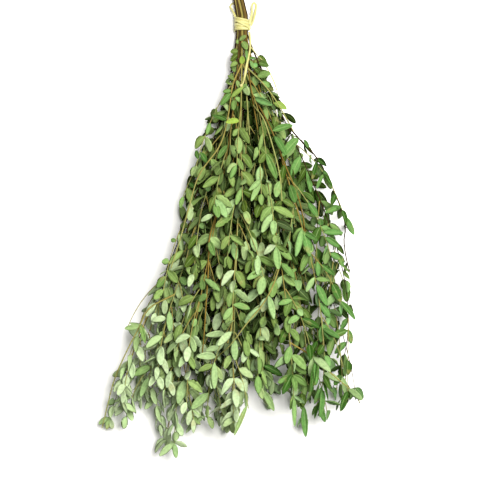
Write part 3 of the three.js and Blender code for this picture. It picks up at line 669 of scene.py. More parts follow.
def blade_balls(leaf, manners):
    """Points over the blade, and which of them are close to its root."""
    along, across = [], []
    length, width = blade_size(leaf, manners)
    rows = math.ceil(length / manners.step)
    for i in range(1, rows + 1):
        half = math.sin(math.pi * (i / rows) ** LEAF.width_power)
        columns = max(1, math.ceil(half * width / manners.step))
        along += [i / rows] * (columns + 1)
        across += [half * (-1 + 2 * j / columns) for j in range(columns + 1)]
    along, across = np.array(along)[:, None], np.array(across)[:, None]
    sag = HANG - leaf.direction * (leaf.direction @ HANG) * manners.kept_length
    points = leaf.root + leaf.direction * length * along + sag * length * manners.droop * leaf.limp * along**2
    points = points + leaf.across * across * width / 2 + leaf.face * manners.lift
    points[:, 2] = np.maximum(points[:, 2], manners.low)
    return points, along[:, 0] < ROOTED_SHARE


def roomy_leaf(draws, node, side, room, owner, tries, bounds=None):
    """The first of a few leaves, each turned another way, that has room."""
    for turn in range(tries):
        leaf = planned_leaf([(draw + turn * GOLDEN_SHARE) % 1 for draw in draws], node, side, room.manners)
        points, rooted = blade_balls(leaf, room.manners)
        if bounds is not None:
            if ((points < bounds[0]) | (points > bounds[1])).any() or not inside_outline(points).all():
                continue
        if room.is_free(points, room.manners.blade, owner, rooted):
            room.take(points, room.manners.blade, owner)
            return leaf
    return None


def draw_pairs(shoot):
    """Draws the leaf pair of each node: each leaf's side, and the numbers that shape it."""
    random = seeded(shoot.seed + LEAF.seed)
    for node in shoot.nodes:
        first_side = node.from_tip % 2
        node.pair = [(side, drawn(random, LEAF.draws)) for side in (first_side, first_side + 2)]


def bear_leaves(shoot, room):
    """The leaf pairs of the solid's nodes."""
    for node in shoot.nodes:
        if node.bare or node.from_tip % NODES_PER_SOLID_NODE:
            continue
        for side, draws in node.pair:
            if all(side != twig.side for twig in node.twigs):
                leaf = roomy_leaf(draws, node, side, room, shoot.name, LEAF_TRIES)
                if leaf:
                    node.leaves.append(leaf)


def is_lost(draws, at):
    """Whether a leaf has fallen from the dried bunch. The sides and the tied end have lost the most."""
    loss = LOSS.base + LOSS.right * (at.x > LOSS.right_of) + LOSS.left * (at.x < LOSS.left_of)
    loss += LOSS.upper * (LOSS.top > at.y > LOSS.above) * (at.z > LOSS.upper_over)
    return (draws[0] * LOSS.factors[0] + draws[5] * LOSS.factors[1]) % 1 < loss


def fill_between(shoot, room, bounds):
    """The leaf pairs between the solid's, where there is room for them and none have fallen."""
    for node in shoot.nodes:
        ringed = node.close or (node.at.y > RING.above and node.at.z < RING.below)
        ring = [((side + 1) % 4, draws[::-1]) for side, draws in node.pair] if ringed else []
        for side, draws in node.pair + ring:
            taken = [leaf.side for leaf in node.leaves] + [twig.side for twig in node.twigs]
            if side not in taken and not is_lost(draws, node.at):
                leaf = roomy_leaf(draws, node, side, room, shoot.name, FINE_TRIES, bounds)
                if leaf:
                    node.leaves.append(leaf)


def take_strands(room):
    """Keeps the free raffia clear of leaves and twigs."""
    for name, (diameter, route) in STRANDS.items():
        room.take(strand_line(route, room.manners.step), diameter / 2 + room.manners.shoot, name)
    room.take(TAIL_KNOT.at, TAIL_KNOT.radii[0] + room.manners.shoot, "raffia_tail_knot")


def patch_of(at):
    return int(at[0] // PATCH), int(at[1] // PATCH)


def top_levels(stems):
    """The height of the highest leafy node over each patch of the surface."""
    tops = {}
    for shoot in shoots_in(stems):
        for node in shoot.nodes:
            if node.leaves:
                patch = patch_of(node.at)
                tops[patch] = max(tops.get(patch, 0), node.at.z)
    return tops


def levels_over(plan, tops):
    """Levels for a twig that lies over the leaves all round each of its places, smoothed along it."""
    reaches = (-LONG.around, LONG.around)
    around = [np.array([x, y]) for x in reaches for y in reaches]
    levels = [
        LONG.rise + max(tops.get(patch_of(place + away), LONG.lowest) for away in around) for place in plan
    ]
    for _ in range(LONG.smoothings):
        ends = [levels[0], *levels, levels[-1]]
        levels = [(ends[i] + 2 * ends[i + 1] + ends[i + 2]) / 4 for i in range(len(levels))]
    return levels


def bear_long_twigs(stems, room):
    """The long twigs that lie over the rest, each from the stem node nearest to its first place."""
    tops = top_levels(stems)
    forks = [node for stem in stems for node in stem.nodes]
    for number, (leafy, paleness, wear_and_shade, course) in enumerate(LONG_TWIGS):
        first, *plan = [in_view(*place) for place in course]
        fork = min(forks, key=lambda node: math.dist(node.at[:2], first) - SEEN.preference * node.at.z)
        levels = levels_over(plan, tops)
        curve = Course([tuple(fork.at), *((*place, level) for place, level in zip(plan, levels))])
        forward = curve.heading(0)
        over = (UP - forward * UP.dot(forward)).normalized()
        start = SimpleNamespace(forward=forward, right=over.cross(forward), over=over)
        twig = SimpleNamespace(
            side=None, kind=TWIG, curve=curve, nodes=nodes_of(curve, LONG.spacing, start, leafy, 0),
            name=f"long twig {number}", seed=LONG.seed + SEED_STEP * number, stoutness=LONG.stoutness,
            paleness=paleness, wear_and_shade=wear_and_shade,
        )
        for node in twig.nodes:
            node.solid = False
        line = curve.along(np.linspace(0, 1, math.ceil(curve.length / FINE.step)))
        room.take(line, TWIG.radius + FINE.shoot, twig.name)
        for lift in SEEN.covers:
            room.take(line + [0, 0, lift], LONG.cover_reach, None)
        fork.twigs.append(twig)


def seats_on(stems):
    """Places along all shoots that could bear a leaf, each with its shoot and its share of the length."""
    seats = []
    for shoot in shoots_in(stems):
        end = last_bearing(shoot)
        count = max(2, round(end * shoot.curve.length / SEEN.seat_gap))
        for share in np.linspace(SEEN.first_seat, end, count):
            seats.append((shoot.curve.along(share), shoot, share))
    return seats


def lay_seen_leaves(stems, room):
    """The leaves that show on top, each on the highest shoot near its root, with nothing grown over them."""
    seats = seats_on(stems)
    places = np.array([place for place, _, _ in seats])
    for x, y, tip_x, tip_y, width, tone, warmth, shape in SEEN_LEAVES:
        gaps = np.hypot(*(places[:, :2] - in_view(x, y)).T)
        near = gaps < SEEN.reach
        level = places[near, 2].max() if near.any() else 0
        best = int(np.argmin(gaps + SEEN.preference * np.maximum(0, level - places[:, 2])))
        root, shoot, share = seats[best]
        node = min(shoot.nodes, key=lambda node: abs(node.share - share))
        longest = SEEN.longest * VIEW.unit * math.hypot(tip_x - x, tip_y - y)
        for pitch in SEEN.pitches:
            leaf = seen_leaf(root, in_view(tip_x, tip_y), width * VIEW.unit, pitch, longest)
            points, rooted = blade_balls(leaf, FINE)
            if room.is_free(points, FINE.blade, shoot.name, rooted):
                break
        # Leaves on top get no painted shade.
        leaf.look = {"tone": tone * SEEN.dullness, "warmth": warmth, "shape": shape, "inner": 0}
        node.leaves.append(leaf)
        room.take(points, FINE.blade, shoot.name)
        for lift in SEEN.covers:
            room.take(points + [0, 0, lift], SEEN.cover_reach, None)


def stays(leaf, room, owner):
    """Whether a leaf of the solid is drawn: one that is mostly in the outline and under no leaf on top."""
    if leaf.side is None:
        return True
    points, rooted = blade_balls(leaf, FINE)
    if inside_outline(points).mean() <= SOLID_SHARE_INSIDE:
        return False
    if not room.is_free(points, FINE.blade, owner, rooted):
        return False
    room.take(points, FINE.blade, owner)
    return True


def seen_leaf(root, tip, width, pitch, longest):
    """A leaf whose tip, once it has sunk under its weight, is over a place or as near to it as it reaches."""
    flat = tip - root[:2]
    flat *= min(1, longest / np.linalg.norm(flat))
    reach = np.array([*flat, pitch * np.linalg.norm(flat)])
    length, way = np.linalg.norm(reach), reach / np.linalg.norm(reach)
    for _ in range(SEEN.passes):
        sag = (HANG - way * (way @ HANG)) * FINE.droop * SEEN.limp * length
        length = np.linalg.norm(reach - sag)
        way = (reach - sag) / length
    face = UP + Vector((SEEN.rock * math.sin(root[0]), SEEN.rock * math.sin(root[1]), 0))
    face = (face - Vector(way) * face.dot(Vector(way))).normalized()
    unit = blade_size(SimpleNamespace(root=root, length=1, width=1), FINE)
    return SimpleNamespace(
        side=None, root=root, direction=way, face=np.array(face), across=np.array(face.cross(Vector(way))),
        length=length / unit[0], width=width / unit[1], limp=SEEN.limp,
    )


def shoots_of(stem):
    """The stem, and then each of its twigs."""
    yield stem
    for node in stem.nodes:
        yield from node.twigs


def shoots_in(stems):
    """All stems, each with its twigs after it."""
    for stem in stems:
        yield from shoots_of(stem)


def solid_growth():
    """All stems with the twigs and leaves that their solids have."""
    room = Room(SOLID)
    take_strands(room)
    stems = [planned_stem(index, *row) for index, row in enumerate(STEMS)]
    for stem in stems:
        line = solid_line(stem.curve, stem.nodes, SOLID.step)
        room.take(line, STEM.radius + SOLID.shoot, stem.name)
    for turn in range(max(stem.twig_count for stem in stems)):
        for stem in stems:
            bear_twig(stem, turn, room)
    for shoot in shoots_in(stems):
        draw_pairs(shoot)
        bear_leaves(shoot, room)
    return stems


def grown_bunch():
    """All stems as their solids have them, with what lies on top, and then with all that grows between."""
    stems = solid_growth()
    room = Room(FINE)
    take_strands(room)
    for shoot in shoots_in(stems):
        line = shoot.curve.along(np.linspace(0, 1, math.ceil(shoot.curve.length / FINE.step) + 1))
        room.take(line, shoot.kind.radius + FINE.shoot, shoot.name)
    bear_long_twigs(stems, room)
    lay_seen_leaves(stems, room)
    for shoot in shoots_in(stems):
        for node in shoot.nodes:
            node.leaves = [leaf for leaf in node.leaves if stays(leaf, room, shoot.name)]
    for stem in stems:
        bear_extra_twigs(stem, room)
    low, high = [(np.array(corner) - SHIFT) / MM for corner in CAD_BOX]
    bounds = (low - BOX_MARGIN, high + BOX_MARGIN)
    for shoot in shoots_in(stems):
        if shoot.nodes[0].pair is None:
            draw_pairs(shoot)
        fill_between(shoot, room, bounds)
    return stems


def put(tree, kind, values=None, **settings):
    """A node with its settings, its inputs linked to sockets or given plain values."""
    node = tree.nodes.new(kind)
    for name, value in settings.items():
        setattr(node, name, value)
    for key, value in (values or {}).items():
        if isinstance(value, bpy.types.NodeSocket):
            tree.links.new(value, node.inputs[key])
        else:
            node.inputs[key].default_value = value
    return node


def made(tree, kind, values=None, **settings):
    """The first output of a node that is put in."""
    return put(tree, kind, values, **settings).outputs[0]


def calc(tree, operation, *values):
    return made(tree, "ShaderNodeMath", dict(enumerate(values)), operation=operation)


def axes(tree, vector):
    return put(tree, "ShaderNodeSeparateXYZ", {0: vector}).outputs


def new_tree(name, kind, inputs, outputs):
    """An empty node group whose sockets are named with their kinds, and what it is given and gives."""
    tree = bpy.data.node_groups.new(name, kind)
    for direction, sockets in (("INPUT", inputs), ("OUTPUT", outputs)):
        for socket, socket_kind in sockets.items():
            tree.interface.new_socket(socket, in_out=direction, socket_type=f"NodeSocket{socket_kind}")
    return tree, put(tree, "NodeGroupInput").outputs, put(tree, "NodeGroupOutput").inputs


def give(tree, result, values):
    """Links sockets to the outputs of a group."""
    for name, value in values.items():
        tree.links.new(value, result[name])


def attribute(tree, name, data_type="FLOAT"):
    node = put(tree, "GeometryNodeInputNamedAttribute", {"Name": name}, data_type=data_type)
    return next(socket for socket in node.outputs if socket.enabled)


def scaled(tree, vector, factor):
    return made(tree, "ShaderNodeVectorMath", {0: vector, "Scale": factor}, operation="SCALE")


# The least height in metres of a leaf's lower face over the surface.
LEAST_LEVEL = 0.0001


def bent_leaves(tree, leaves, size, droop, thickness):
    """Leaves that have sunk under their own weight and lie on the surface where they reach it."""
    pointing = attribute(tree, "pointing", "FLOAT_VECTOR")
    fall = calc(tree, "MULTIPLY", calc(tree, "POWER", attribute(tree, "leaf_along"), 2.0), droop)
    fall = calc(tree, "MULTIPLY", fall, attribute(tree, "limp"))
    fall = calc(tree, "MULTIPLY", fall, axes(tree, size)["Y"])
    kept = put(tree, "ShaderNodeVectorMath", {0: pointing, 1: tuple(HANG)}, operation="DOT_PRODUCT")
    kept = scaled(tree, pointing, kept.outputs["Value"])
    sag = made(tree, "ShaderNodeVectorMath", {0: tuple(HANG), 1: kept}, operation="SUBTRACT")
    bent = made(tree, "GeometryNodeSetPosition", {"Geometry": leaves, "Offset": scaled(tree, sag, fall)})
    place = axes(tree, made(tree, "GeometryNodeInputPosition"))
    low = calc(tree, "MULTIPLY", attribute(tree, "leaf_upper"), thickness)
    level = calc(tree, "MAXIMUM", place["Z"], calc(tree, "ADD", low, LEAST_LEVEL))
    raised = made(tree, "ShaderNodeCombineXYZ", {"X": place["X"], "Y": place["Y"], "Z": level})
    return made(tree, "GeometryNodeSetPosition", {"Geometry": bent, "Position": raised})


def shoots_tree():
    """Leaves set on their seats, bent down by their own weight, and bark swept along the shoots."""
    tree, given, result = new_tree("Leafy shoots", "GeometryNodeTree", {
        "Growth": "Geometry", "Leaf shapes": "Collection", "Shoot sides": "Int", "Droop": "Float",
        "Thickness": "Float", "Leaf": "Material", "Bark": "Material",
    }, {"Bunch": "Geometry"})
    parts = put(
        tree, "GeometryNodeSeparateGeometry",
        {"Geometry": given["Growth"], "Selection": attribute(tree, "is_seat", "BOOLEAN")}, domain="POINT",
    ).outputs
    shapes = made(tree, "GeometryNodeCollectionInfo", {
        "Collection": given["Leaf shapes"], "Separate Children": True, "Reset Children": True,
    })
    turn = made(tree, "FunctionNodeAxesToRotation", {
        "Primary Axis": attribute(tree, "facing", "FLOAT_VECTOR"),
        "Secondary Axis": attribute(tree, "pointing", "FLOAT_VECTOR"),
    }, primary_axis="Z", secondary_axis="Y")
    size = attribute(tree, "size", "FLOAT_VECTOR")
    leaves = made(tree, "GeometryNodeInstanceOnPoints", {
        "Points": parts["Selection"], "Instance": shapes, "Pick Instance": True,
        "Instance Index": attribute(tree, "shape", "INT"), "Rotation": turn, "Scale": size,
    })
    leaves = made(tree, "GeometryNodeRealizeInstances", {"Geometry": leaves})
    leaves = bent_leaves(tree, leaves, size, given["Droop"], given["Thickness"])
    leaves = made(tree, "GeometryNodeSetMaterial", {"Geometry": leaves, "Material": given["Leaf"]})
    lines = made(tree, "GeometryNodeMeshToCurve", {"Mesh": parts["Inverted"]})
    ring = made(tree, "GeometryNodeCurvePrimitiveCircle", {"Resolution": given["Shoot sides"], "Radius": 1.0})
    bark = made(tree, "GeometryNodeCurveToMesh", {
        "Curve": lines, "Profile Curve": ring, "Scale": attribute(tree, "girth"), "Fill Caps": True,
    })
    bark = made(tree, "GeometryNodeSetMaterial", {"Geometry": bark, "Material": given["Bark"]})
    both = put(tree, "GeometryNodeJoinGeometry")
    tree.links.new(bark, both.inputs[0])
    tree.links.new(leaves, both.inputs[0])
    smooth = made(tree, "GeometryNodeSetShadeSmooth", {"Geometry": both.outputs[0]})
    give(tree, result, {"Bunch": smooth})
    return tree


def stored(tree, geometry, name, value):
    return made(tree, "GeometryNodeStoreNamedAttribute", {
        "Geometry": geometry, "Name": name, "Value": value,
    }, data_type="FLOAT", domain="POINT")


def strand_tree():
    """A creased flat strip swept along its line, lying the way its line says."""
    tree, given, result = new_tree("Raffia strand", "GeometryNodeTree", {
        "Line": "Geometry", "Sides": "Int", "Flatness": "Float", "Crease": "Float", "Raffia": "Material",
    }, {"Strand": "Geometry"})
    line = made(tree, "GeometryNodeMeshToCurve", {"Mesh": given["Line"]})
    line = made(tree, "GeometryNodeSetCurveNormal", {
        "Curve": line, "Normal": attribute(tree, "lie", "FLOAT_VECTOR"),
    }, mode="FREE")
    line = stored(tree, line, "strand_along", put(tree, "GeometryNodeSplineParameter").outputs["Length"])
    ring = made(tree, "GeometryNodeCurvePrimitiveCircle", {"Resolution": given["Sides"], "Radius": 1.0})
    place = axes(tree, made(tree, "GeometryNodeInputPosition"))
    ring = stored(tree, ring, "strand_across", place["Y"])
    thick = calc(tree, "MULTIPLY", place["X"], given["Flatness"])
    rise = calc(tree, "MULTIPLY", calc(tree, "ABSOLUTE", place["Y"]), given["Crease"])
    flat = made(tree, "ShaderNodeCombineXYZ", {"X": calc(tree, "ADD", thick, rise), "Y": place["Y"]})
    ring = made(tree, "GeometryNodeSetPosition", {"Geometry": ring, "Position": flat})
    strip = made(tree, "GeometryNodeCurveToMesh", {
        "Curve": line, "Profile Curve": ring, "Scale": attribute(tree, "breadth"), "Fill Caps": True,
    })
    strip = made(tree, "GeometryNodeSetMaterial", {"Geometry": strip, "Material": given["Raffia"]})
    give(tree, result, {"Strand": made(tree, "GeometryNodeSetShadeSmooth", {"Geometry": strip})})
    return tree


def made_plain(piece, tree, values):
    """Runs a geometry tree on a piece and keeps its result as the piece's own mesh."""
    modifier = piece.modifiers.new(tree.name, "NODES")
    modifier.node_group = tree
    inputs = (item for item in tree.interface.items_tree if item.in_out == "INPUT")
    identifiers = {item.name: item.identifier for item in inputs}
    for name, value in values.items():
        modifier[identifiers[name]] = value
    depsgraph = bpy.context.evaluated_depsgraph_get()
    drawn = piece.data
    mesh = bpy.data.meshes.new_from_object(
        piece.evaluated_get(depsgraph), preserve_all_data_layers=True, depsgraph=depsgraph
    )
    piece.modifiers.remove(modifier)
    piece.data = mesh
    mesh.name = piece.name
    bpy.data.meshes.remove(drawn)


def new_piece(name, mesh):
    piece = bpy.data.objects.new(name, mesh)
    bpy.context.scene.collection.objects.link(piece)
    return piece


def store(mesh, name, kind, values):
    """Stores a value of each point with the mesh."""
    layer = mesh.attributes.new(name, kind, "POINT")
    key = "vector" if kind == "FLOAT_VECTOR" else "value"
    number = float if kind.startswith("FLOAT") else int
    layer.data.foreach_set(key, np.asarray(values, dtype=number).ravel())


def line_mesh(name, points, edges, values):
    """A mesh of lines, with the kind and the rows of each value that its points carry."""
    mesh = bpy.data.meshes.new(name)
    mesh.from_pydata(points, edges, [])
    for value_name, (kind, rows) in values.items():
        store(mesh, value_name, kind, rows)
    return mesh


LEAF_STATIONS = (0, 0.08, 0.17, 0.34, 0.57, 0.8, 0.94, 1)
LEAF_COLUMNS = (-1, -0.5, 0, 0.5, 1)
# A leaf of unit length. The wave's three numbers are its height, and its pace along and across the blade.
BLADE = SimpleNamespace(
    start=0.06, bluntness=0.56, half_width=0.26, petiole=0.11, thickness=0.014, rib=0.008, edge=0.5,
    twist_from=0.4, curl_from=0.55, wave=(0.03, 8.5, 2.2),
)
UNDERSIDE_SHIFT = 1.2
UNDERSIDE_START = UNDERSIDE_SHIFT - 0.1
# How each kind of dried leaf has curled: fold, cup, bend, tip curl, twist and wave.
LEAF_KINDS = {
    "a_flat": (0.06, 0.04, -0.02, -0.1, 0.15, 0.6),
    "b_folded": (0.5, 0.0, 0.04, 0.15, 0.1, 0.3),
    "c_cupped": (0.12, 0.42, -0.06, 0.2, 0.15, 0.5),
    "d_arched": (0.1, -0.2, -0.2, -0.25, -0.2, 0.5),
    "e_twisted": (0.16, 0.1, 0.05, -0.1, 1.0, 0.7),
    "f_curled": (0.34, 0.3, 0.12, 0.6, -0.5, 0.5),
    "g_sickle": (0.2, -0.1, -0.1, 0.3, 0.5, 0.9),
}


def leaf_lift(form, across, along, half):
    """How far a leaf of this curl stands out of its own plane."""
    fold, cup, bend, curl, twist, wave = form
    side = abs(across)
    turned = fold * side + cup * side * side + twist * (along - BLADE.twist_from) * across
    height, pace, slant = BLADE.wave
    waved = wave * height * math.sin(pace * along + slant * across) * side * half
    tip = max(0, along - BLADE.curl_from)
    return BLADE.half_width * half * turned + waved + bend * along**2 + curl * tip**2


def leaf_shape(name, form):
    """One leaf of unit length, pointing along +Y with its upper face to +Z, in the given curl."""
    points, uvs, along_values, upper_values = [], [], [], []

    def add(across, along, lowered, under):
        blade = max(0, (along - BLADE.start) / (1 - BLADE.start))
        half = math.sin(math.pi * blade**LEAF.width_power) ** BLADE.bluntness
        half = max(half, BLADE.petiole * (1 - along))
        points.append((across * half, along, leaf_lift(form, across, along, half) - lowered))
        uvs.append(((across + 1) / 2 + under * UNDERSIDE_SHIFT, along))
        along_values.append(along)
        upper_values.append(0.0 if under else 1.0 - BLADE.edge * abs(across))
        return len(points) - 1

    upper = [[add(across, along, 0, 0) for across in LEAF_COLUMNS] for along in LEAF_STATIONS[:-1]]
    depths = {across: BLADE.thickness + BLADE.rib * (across == 0) for across in LEAF_COLUMNS[1:-1]}
    lower = [
        [add(across, along, depth, 1) for across, depth in depths.items()] for along in LEAF_STATIONS[:-1]
    ]
    tip = add(0, 1, 0, 0)
    faces, corners = [], []

    def face(vertices, under):
        faces.append(vertices)
        for vertex in vertices:
            u, v = uvs[vertex]
            if under and u < UNDERSIDE_START:
                u += UNDERSIDE_SHIFT
            corners.append((u, v))

    under_rows = [[up[0], *low, up[-1]] for up, low in zip(upper, lower)]
    for rows, under in ((upper, False), (under_rows, True)):
        for first, second in zip(rows, rows[1:] + [None]):
            for k in range(len(LEAF_COLUMNS) - 1):
                far = [second[k + 1], second[k]] if second else [tip]
                ring = [first[k], first[k + 1], *far]
                face(ring[::-1] if under else ring, under)
    face([*upper[0][::-1], *lower[0]], True)
    mesh = bpy.data.meshes.new(name)
    mesh.from_pydata(points, [], faces)
    layer = mesh.uv_layers.new(name="UVMap")
    layer.data.foreach_set("uv", np.array(corners, float).ravel())
    store(mesh, "leaf_along", "FLOAT", along_values)
    store(mesh, "leaf_upper", "FLOAT", upper_values)
    return bpy.data.objects.new(name, mesh)


SHOOT_STEP = 5
# The half thickness of dried twigs and stems at these shares of their length.
GIRTH_SHARES = (0, 0.08, 0.3, 1)
GIRTHS = ((0.8, 0.65, 0.55, 0.45), (1.15, 0.95, 0.75, 0.42))
NODE_SWELLING = 0.24
SWELLING_REACH = 1.1
LEAST_BEARING = 0.3


def last_bearing(shoot):
    """The share of a shoot's length at which it bears its last leaves or twig."""
    bearing = [node.share for node in shoot.nodes if node.leaves or node.twigs]
    return min(1.0, max(bearing, default=LEAST_BEARING) + LAST_NODE / shoot.curve.length)


def shoot_points(shoot, before=()):
    """The line of a shoot with its thickness, swollen a little at each node."""
    length = shoot.curve.length
    end = last_bearing(shoot) if shoot.stoutness == 1 else 1.0
    marks = set(np.linspace(0, end, math.ceil(end * length / SHOOT_STEP) + 1))
    swollen = {}
    for node in shoot.nodes:
        if node.share > end:
            continue
        reach = SWELLING_REACH / length
        marks = {mark for mark in marks if abs(mark - node.share) > 2 * reach or mark in (0.0, end)}
        swollen[node.share] = 1 + NODE_SWELLING
        marks |= {node.share - reach, node.share, min(end, node.share + reach)}
    shares = sorted(marks)
    girth = np.array(GIRTHS[shoot.kind is STEM]) * shoot.stoutness
    points = [*before, *shoot.curve.along(np.array(shares))]
    thickness = [np.interp(share, GIRTH_SHARES, girth) * swollen.get(share, 1) for share in shares]
    return points, [girth[0]] * len(before) + thickness, [0.0] * len(before) + shares


CUT_DEPTH = 0.4
CUT_AGE = 1.3
AGE_SEED = 900
# How old the bark is at the root and the tip of twigs and stems, and how much that varies between them.
AGES = ((0.24, 0.0, 0.3), (0.86, 0.1, 1.1))
# How pale the leaves have dried, from the hanging end up to the tie, and how much paler or darker they are
# made at the sides. The same places say how strongly painted shade darkens the leaves that sit deep in the
# bunch.
LEAF_TONE_AND_SHADE = SimpleNamespace(
    places=(-200, -60, 60, 190), paleness=(0.5, 0.04, -0.2, -0.24), depth=16, deep=(0.25, 1.1, 1.9, 1.8),
    right_side=75, right_fade=60, right_paleness=-0.26, low_right_below=-95, low_right_places=(30, 80),
    low_right_paleness=-0.4, left_below=20, left_places=(50, 110), left_paleness=0.4, spread=0.84,
    right_spread=0.35, lowest=0.2, middle_tone=0.5, twig_spread=0.5, warmth_spread=0.5, twig_share=0.5,
    curl_power=1.3, right_curl=0.8,
)
# What each point of the growth carries: its kind, and its value where none is given.
# inner is how much painted shade darkens a leaf that sits deep in the bunch.
CARRIED = {
    "is_seat": ("BOOLEAN", 0), "girth": ("FLOAT", 0), "age": ("FLOAT", 0),
    "pointing": ("FLOAT_VECTOR", (0, 1, 0)), "facing": ("FLOAT_VECTOR", (0, 0, 1)),
    "size": ("FLOAT_VECTOR", (1, 1, 1)), "shape": ("INT", 0), "tone": ("FLOAT", 0.5),
    "warmth": ("FLOAT", 0.5), "inner": ("FLOAT", 0), "limp": ("FLOAT", 1),
}


def leaf_look(leaf, shoot, twig_tone, tops, random):
    """A leaf's curl, how pale it is, how far its colours lean to those of the left, and how deep it sits and
    so how much painted shade darkens it, by its place and by chance.

    Leaves towards the left of the bunch are made paler and warmer, leaves towards the right darker and
    greener.
    """
    x, y, z = leaf.root
    # 1 towards the left of the bunch and 0 towards the right; shaded is the share towards the right, whose
    # leaves take the darker, greener colours.
    leftward = 0.5 - 0.5 * math.tanh((x - LEAF_TONE_AND_SHADE.right_side) / LEAF_TONE_AND_SHADE.right_fade)
    shaded = 1 - leftward
    pale = np.interp(y, LEAF_TONE_AND_SHADE.places, LEAF_TONE_AND_SHADE.paleness) + LEAF_TONE_AND_SHADE.right_paleness * shaded
    left = np.interp(-x, LEAF_TONE_AND_SHADE.left_places, (0, 1)) * (y < LEAF_TONE_AND_SHADE.left_below)
    pale += LEAF_TONE_AND_SHADE.left_paleness * left
    if y < LEAF_TONE_AND_SHADE.low_right_below:
        pale += LEAF_TONE_AND_SHADE.low_right_paleness * np.interp(x, LEAF_TONE_AND_SHADE.low_right_places, (0, 1))
    spread = LEAF_TONE_AND_SHADE.spread + LEAF_TONE_AND_SHADE.right_spread * shaded
    # How far the leaf sits below the highest leaves over its patch: its inner value darkens it with painted
    # shade.
    deep = (tops.get(patch_of(leaf.root), 0) - z) / LEAF_TONE_AND_SHADE.depth
    curl_power = LEAF_TONE_AND_SHADE.curl_power - LEAF_TONE_AND_SHADE.right_curl * shaded
    shape = int(next(random) ** curl_power * len(LEAF_KINDS))
    look = {
        "tone": LEAF_TONE_AND_SHADE.twig_share * twig_tone + spread * (next(random) - LEAF_TONE_AND_SHADE.lowest) + pale + shoot.paleness,
        "warmth": leftward + LEAF_TONE_AND_SHADE.warmth_spread * (next(random) - 0.5),
        "inner": deep * (np.interp(y, LEAF_TONE_AND_SHADE.places, LEAF_TONE_AND_SHADE.deep) * (1 - left)),
    }
    return {"shape": shape, **{name: min(1, max(0, value)) for name, value in look.items()}, **leaf.look}


def growth_mesh(stem, tops):
    """The lines of a stem and its twigs and the seats of its leaves, with all that the tree reads."""
    random = seeded(stem.seed + AGE_SEED)
    points, edges = [], []
    rows = {name: [] for name in CARRIED}

    def add(point, **values):
        points.append(placed(point))
        for name, (_, plain) in CARRIED.items():
            rows[name].append(values.get(name, plain))

    for shoot in shoots_of(stem):
        first = len(points)
        is_stem = shoot.kind is STEM
        before = ()
        if is_stem:
            down = (stem.above - stem.cut) / np.linalg.norm(stem.above - stem.cut)
            before = [stem.cut, stem.cut + down * CUT_DEPTH, stem.above]
        root_age, tip_age, spread = AGES[is_stem]
        # The bark's age varies by chance and by the shoot's own darkening; on the stems that darkening is
        # painted shade for the lower rows.
        shade = spread * (next(random) - 0.5) + shoot.wear_and_shade
        for point, radius, share in zip(*shoot_points(shoot, before)):
            age = min(1, max(0, root_age + (tip_age - root_age) * share + shade))
            add(point, girth=radius * MM, age=age)
        if is_stem:
            rows["age"][first] = CUT_AGE
        edges += [(i, i + 1) for i in range(first, len(points) - 1)]
        twig_tone = LEAF_TONE_AND_SHADE.middle_tone + LEAF_TONE_AND_SHADE.twig_spread * (next(random) - 0.5)
        for node in shoot.nodes:
            for leaf in node.leaves:
                length, width = blade_size(leaf, FINE)
                add(
                    leaf.root, is_seat=1, pointing=leaf.direction, facing=leaf.face, limp=leaf.limp,
                    size=(width / 2 * MM, length * MM, length * MM),
                    **leaf_look(leaf, shoot, twig_tone, tops, random),
                )
    values = {name: (kind, rows[name]) for name, (kind, _) in CARRIED.items()}
    return line_mesh(stem.name, points, edges, values)


def new_material(name, roughness, gloss=0.5):
    """A material with one Principled shader, and that shader."""
    material = bpy.data.materials.new(name)
    material.use_nodes = True
    tree = material.node_tree
    tree.nodes.clear()
    shader = put(tree, "ShaderNodeBsdfPrincipled", {"Roughness": roughness, "Specular IOR Level": gloss})
    put(tree, "ShaderNodeOutputMaterial", {"Surface": shader.outputs[0]})
    return material, tree, shader


def read(tree, name):
    return put(tree, "ShaderNodeAttribute", attribute_name=name).outputs["Fac"]


def mixed(tree, share, first, second, blend_type="MIX"):
    """One colour laid over another by a share. Each is a socket or a plain colour."""
    colours = {
        key: value if isinstance(value, bpy.types.NodeSocket) else (*value, 1)
        for key, value in ((6, first), (7, second))
    }
    node = put(tree, "ShaderNodeMix", {0: share, **colours}, data_type="RGBA", blend_type=blend_type)
    return node.outputs[2]


def layered(tree, colour, over, *shares):
    """A colour with another over it by the product of two shares."""
    return mixed(tree, calc(tree, "MULTIPLY", *shares), colour, over)


def ranged(tree, value, low, high, to_low=0.0, to_high=1.0):
    """A value taken smoothly from one range to another."""
    limits = {0: value, 1: low, 2: high, 3: to_low, 4: to_high}
    return made(tree, "ShaderNodeMapRange", limits, interpolation_type="SMOOTHSTEP")


def noise(tree, place, scale, detail):
    return made(tree, "ShaderNodeTexNoise", {"Vector": place, "Scale": scale, "Detail": detail})


def object_place(tree):
    return put(tree, "ShaderNodeTexCoord").outputs["Object"]


def dress(tree, shader, colour, relief, look):
    """Gives a shader its colour and its relief."""
    tree.links.new(colour, shader.inputs["Base Color"])
    values = {"Height": relief, "Strength": look.bump, "Distance": look.bump_depth}
    tree.links.new(made(tree, "ShaderNodeBump", values), shader.inputs["Normal"])


def group(tree, shared, values):
    return put(tree, "ShaderNodeGroup", values, node_tree=shared).outputs


BLOTCH = SimpleNamespace(detail=3.0, finer=5.5, fine_detail=2.0, limit=0.78, cover=0.4, edge=0.12)


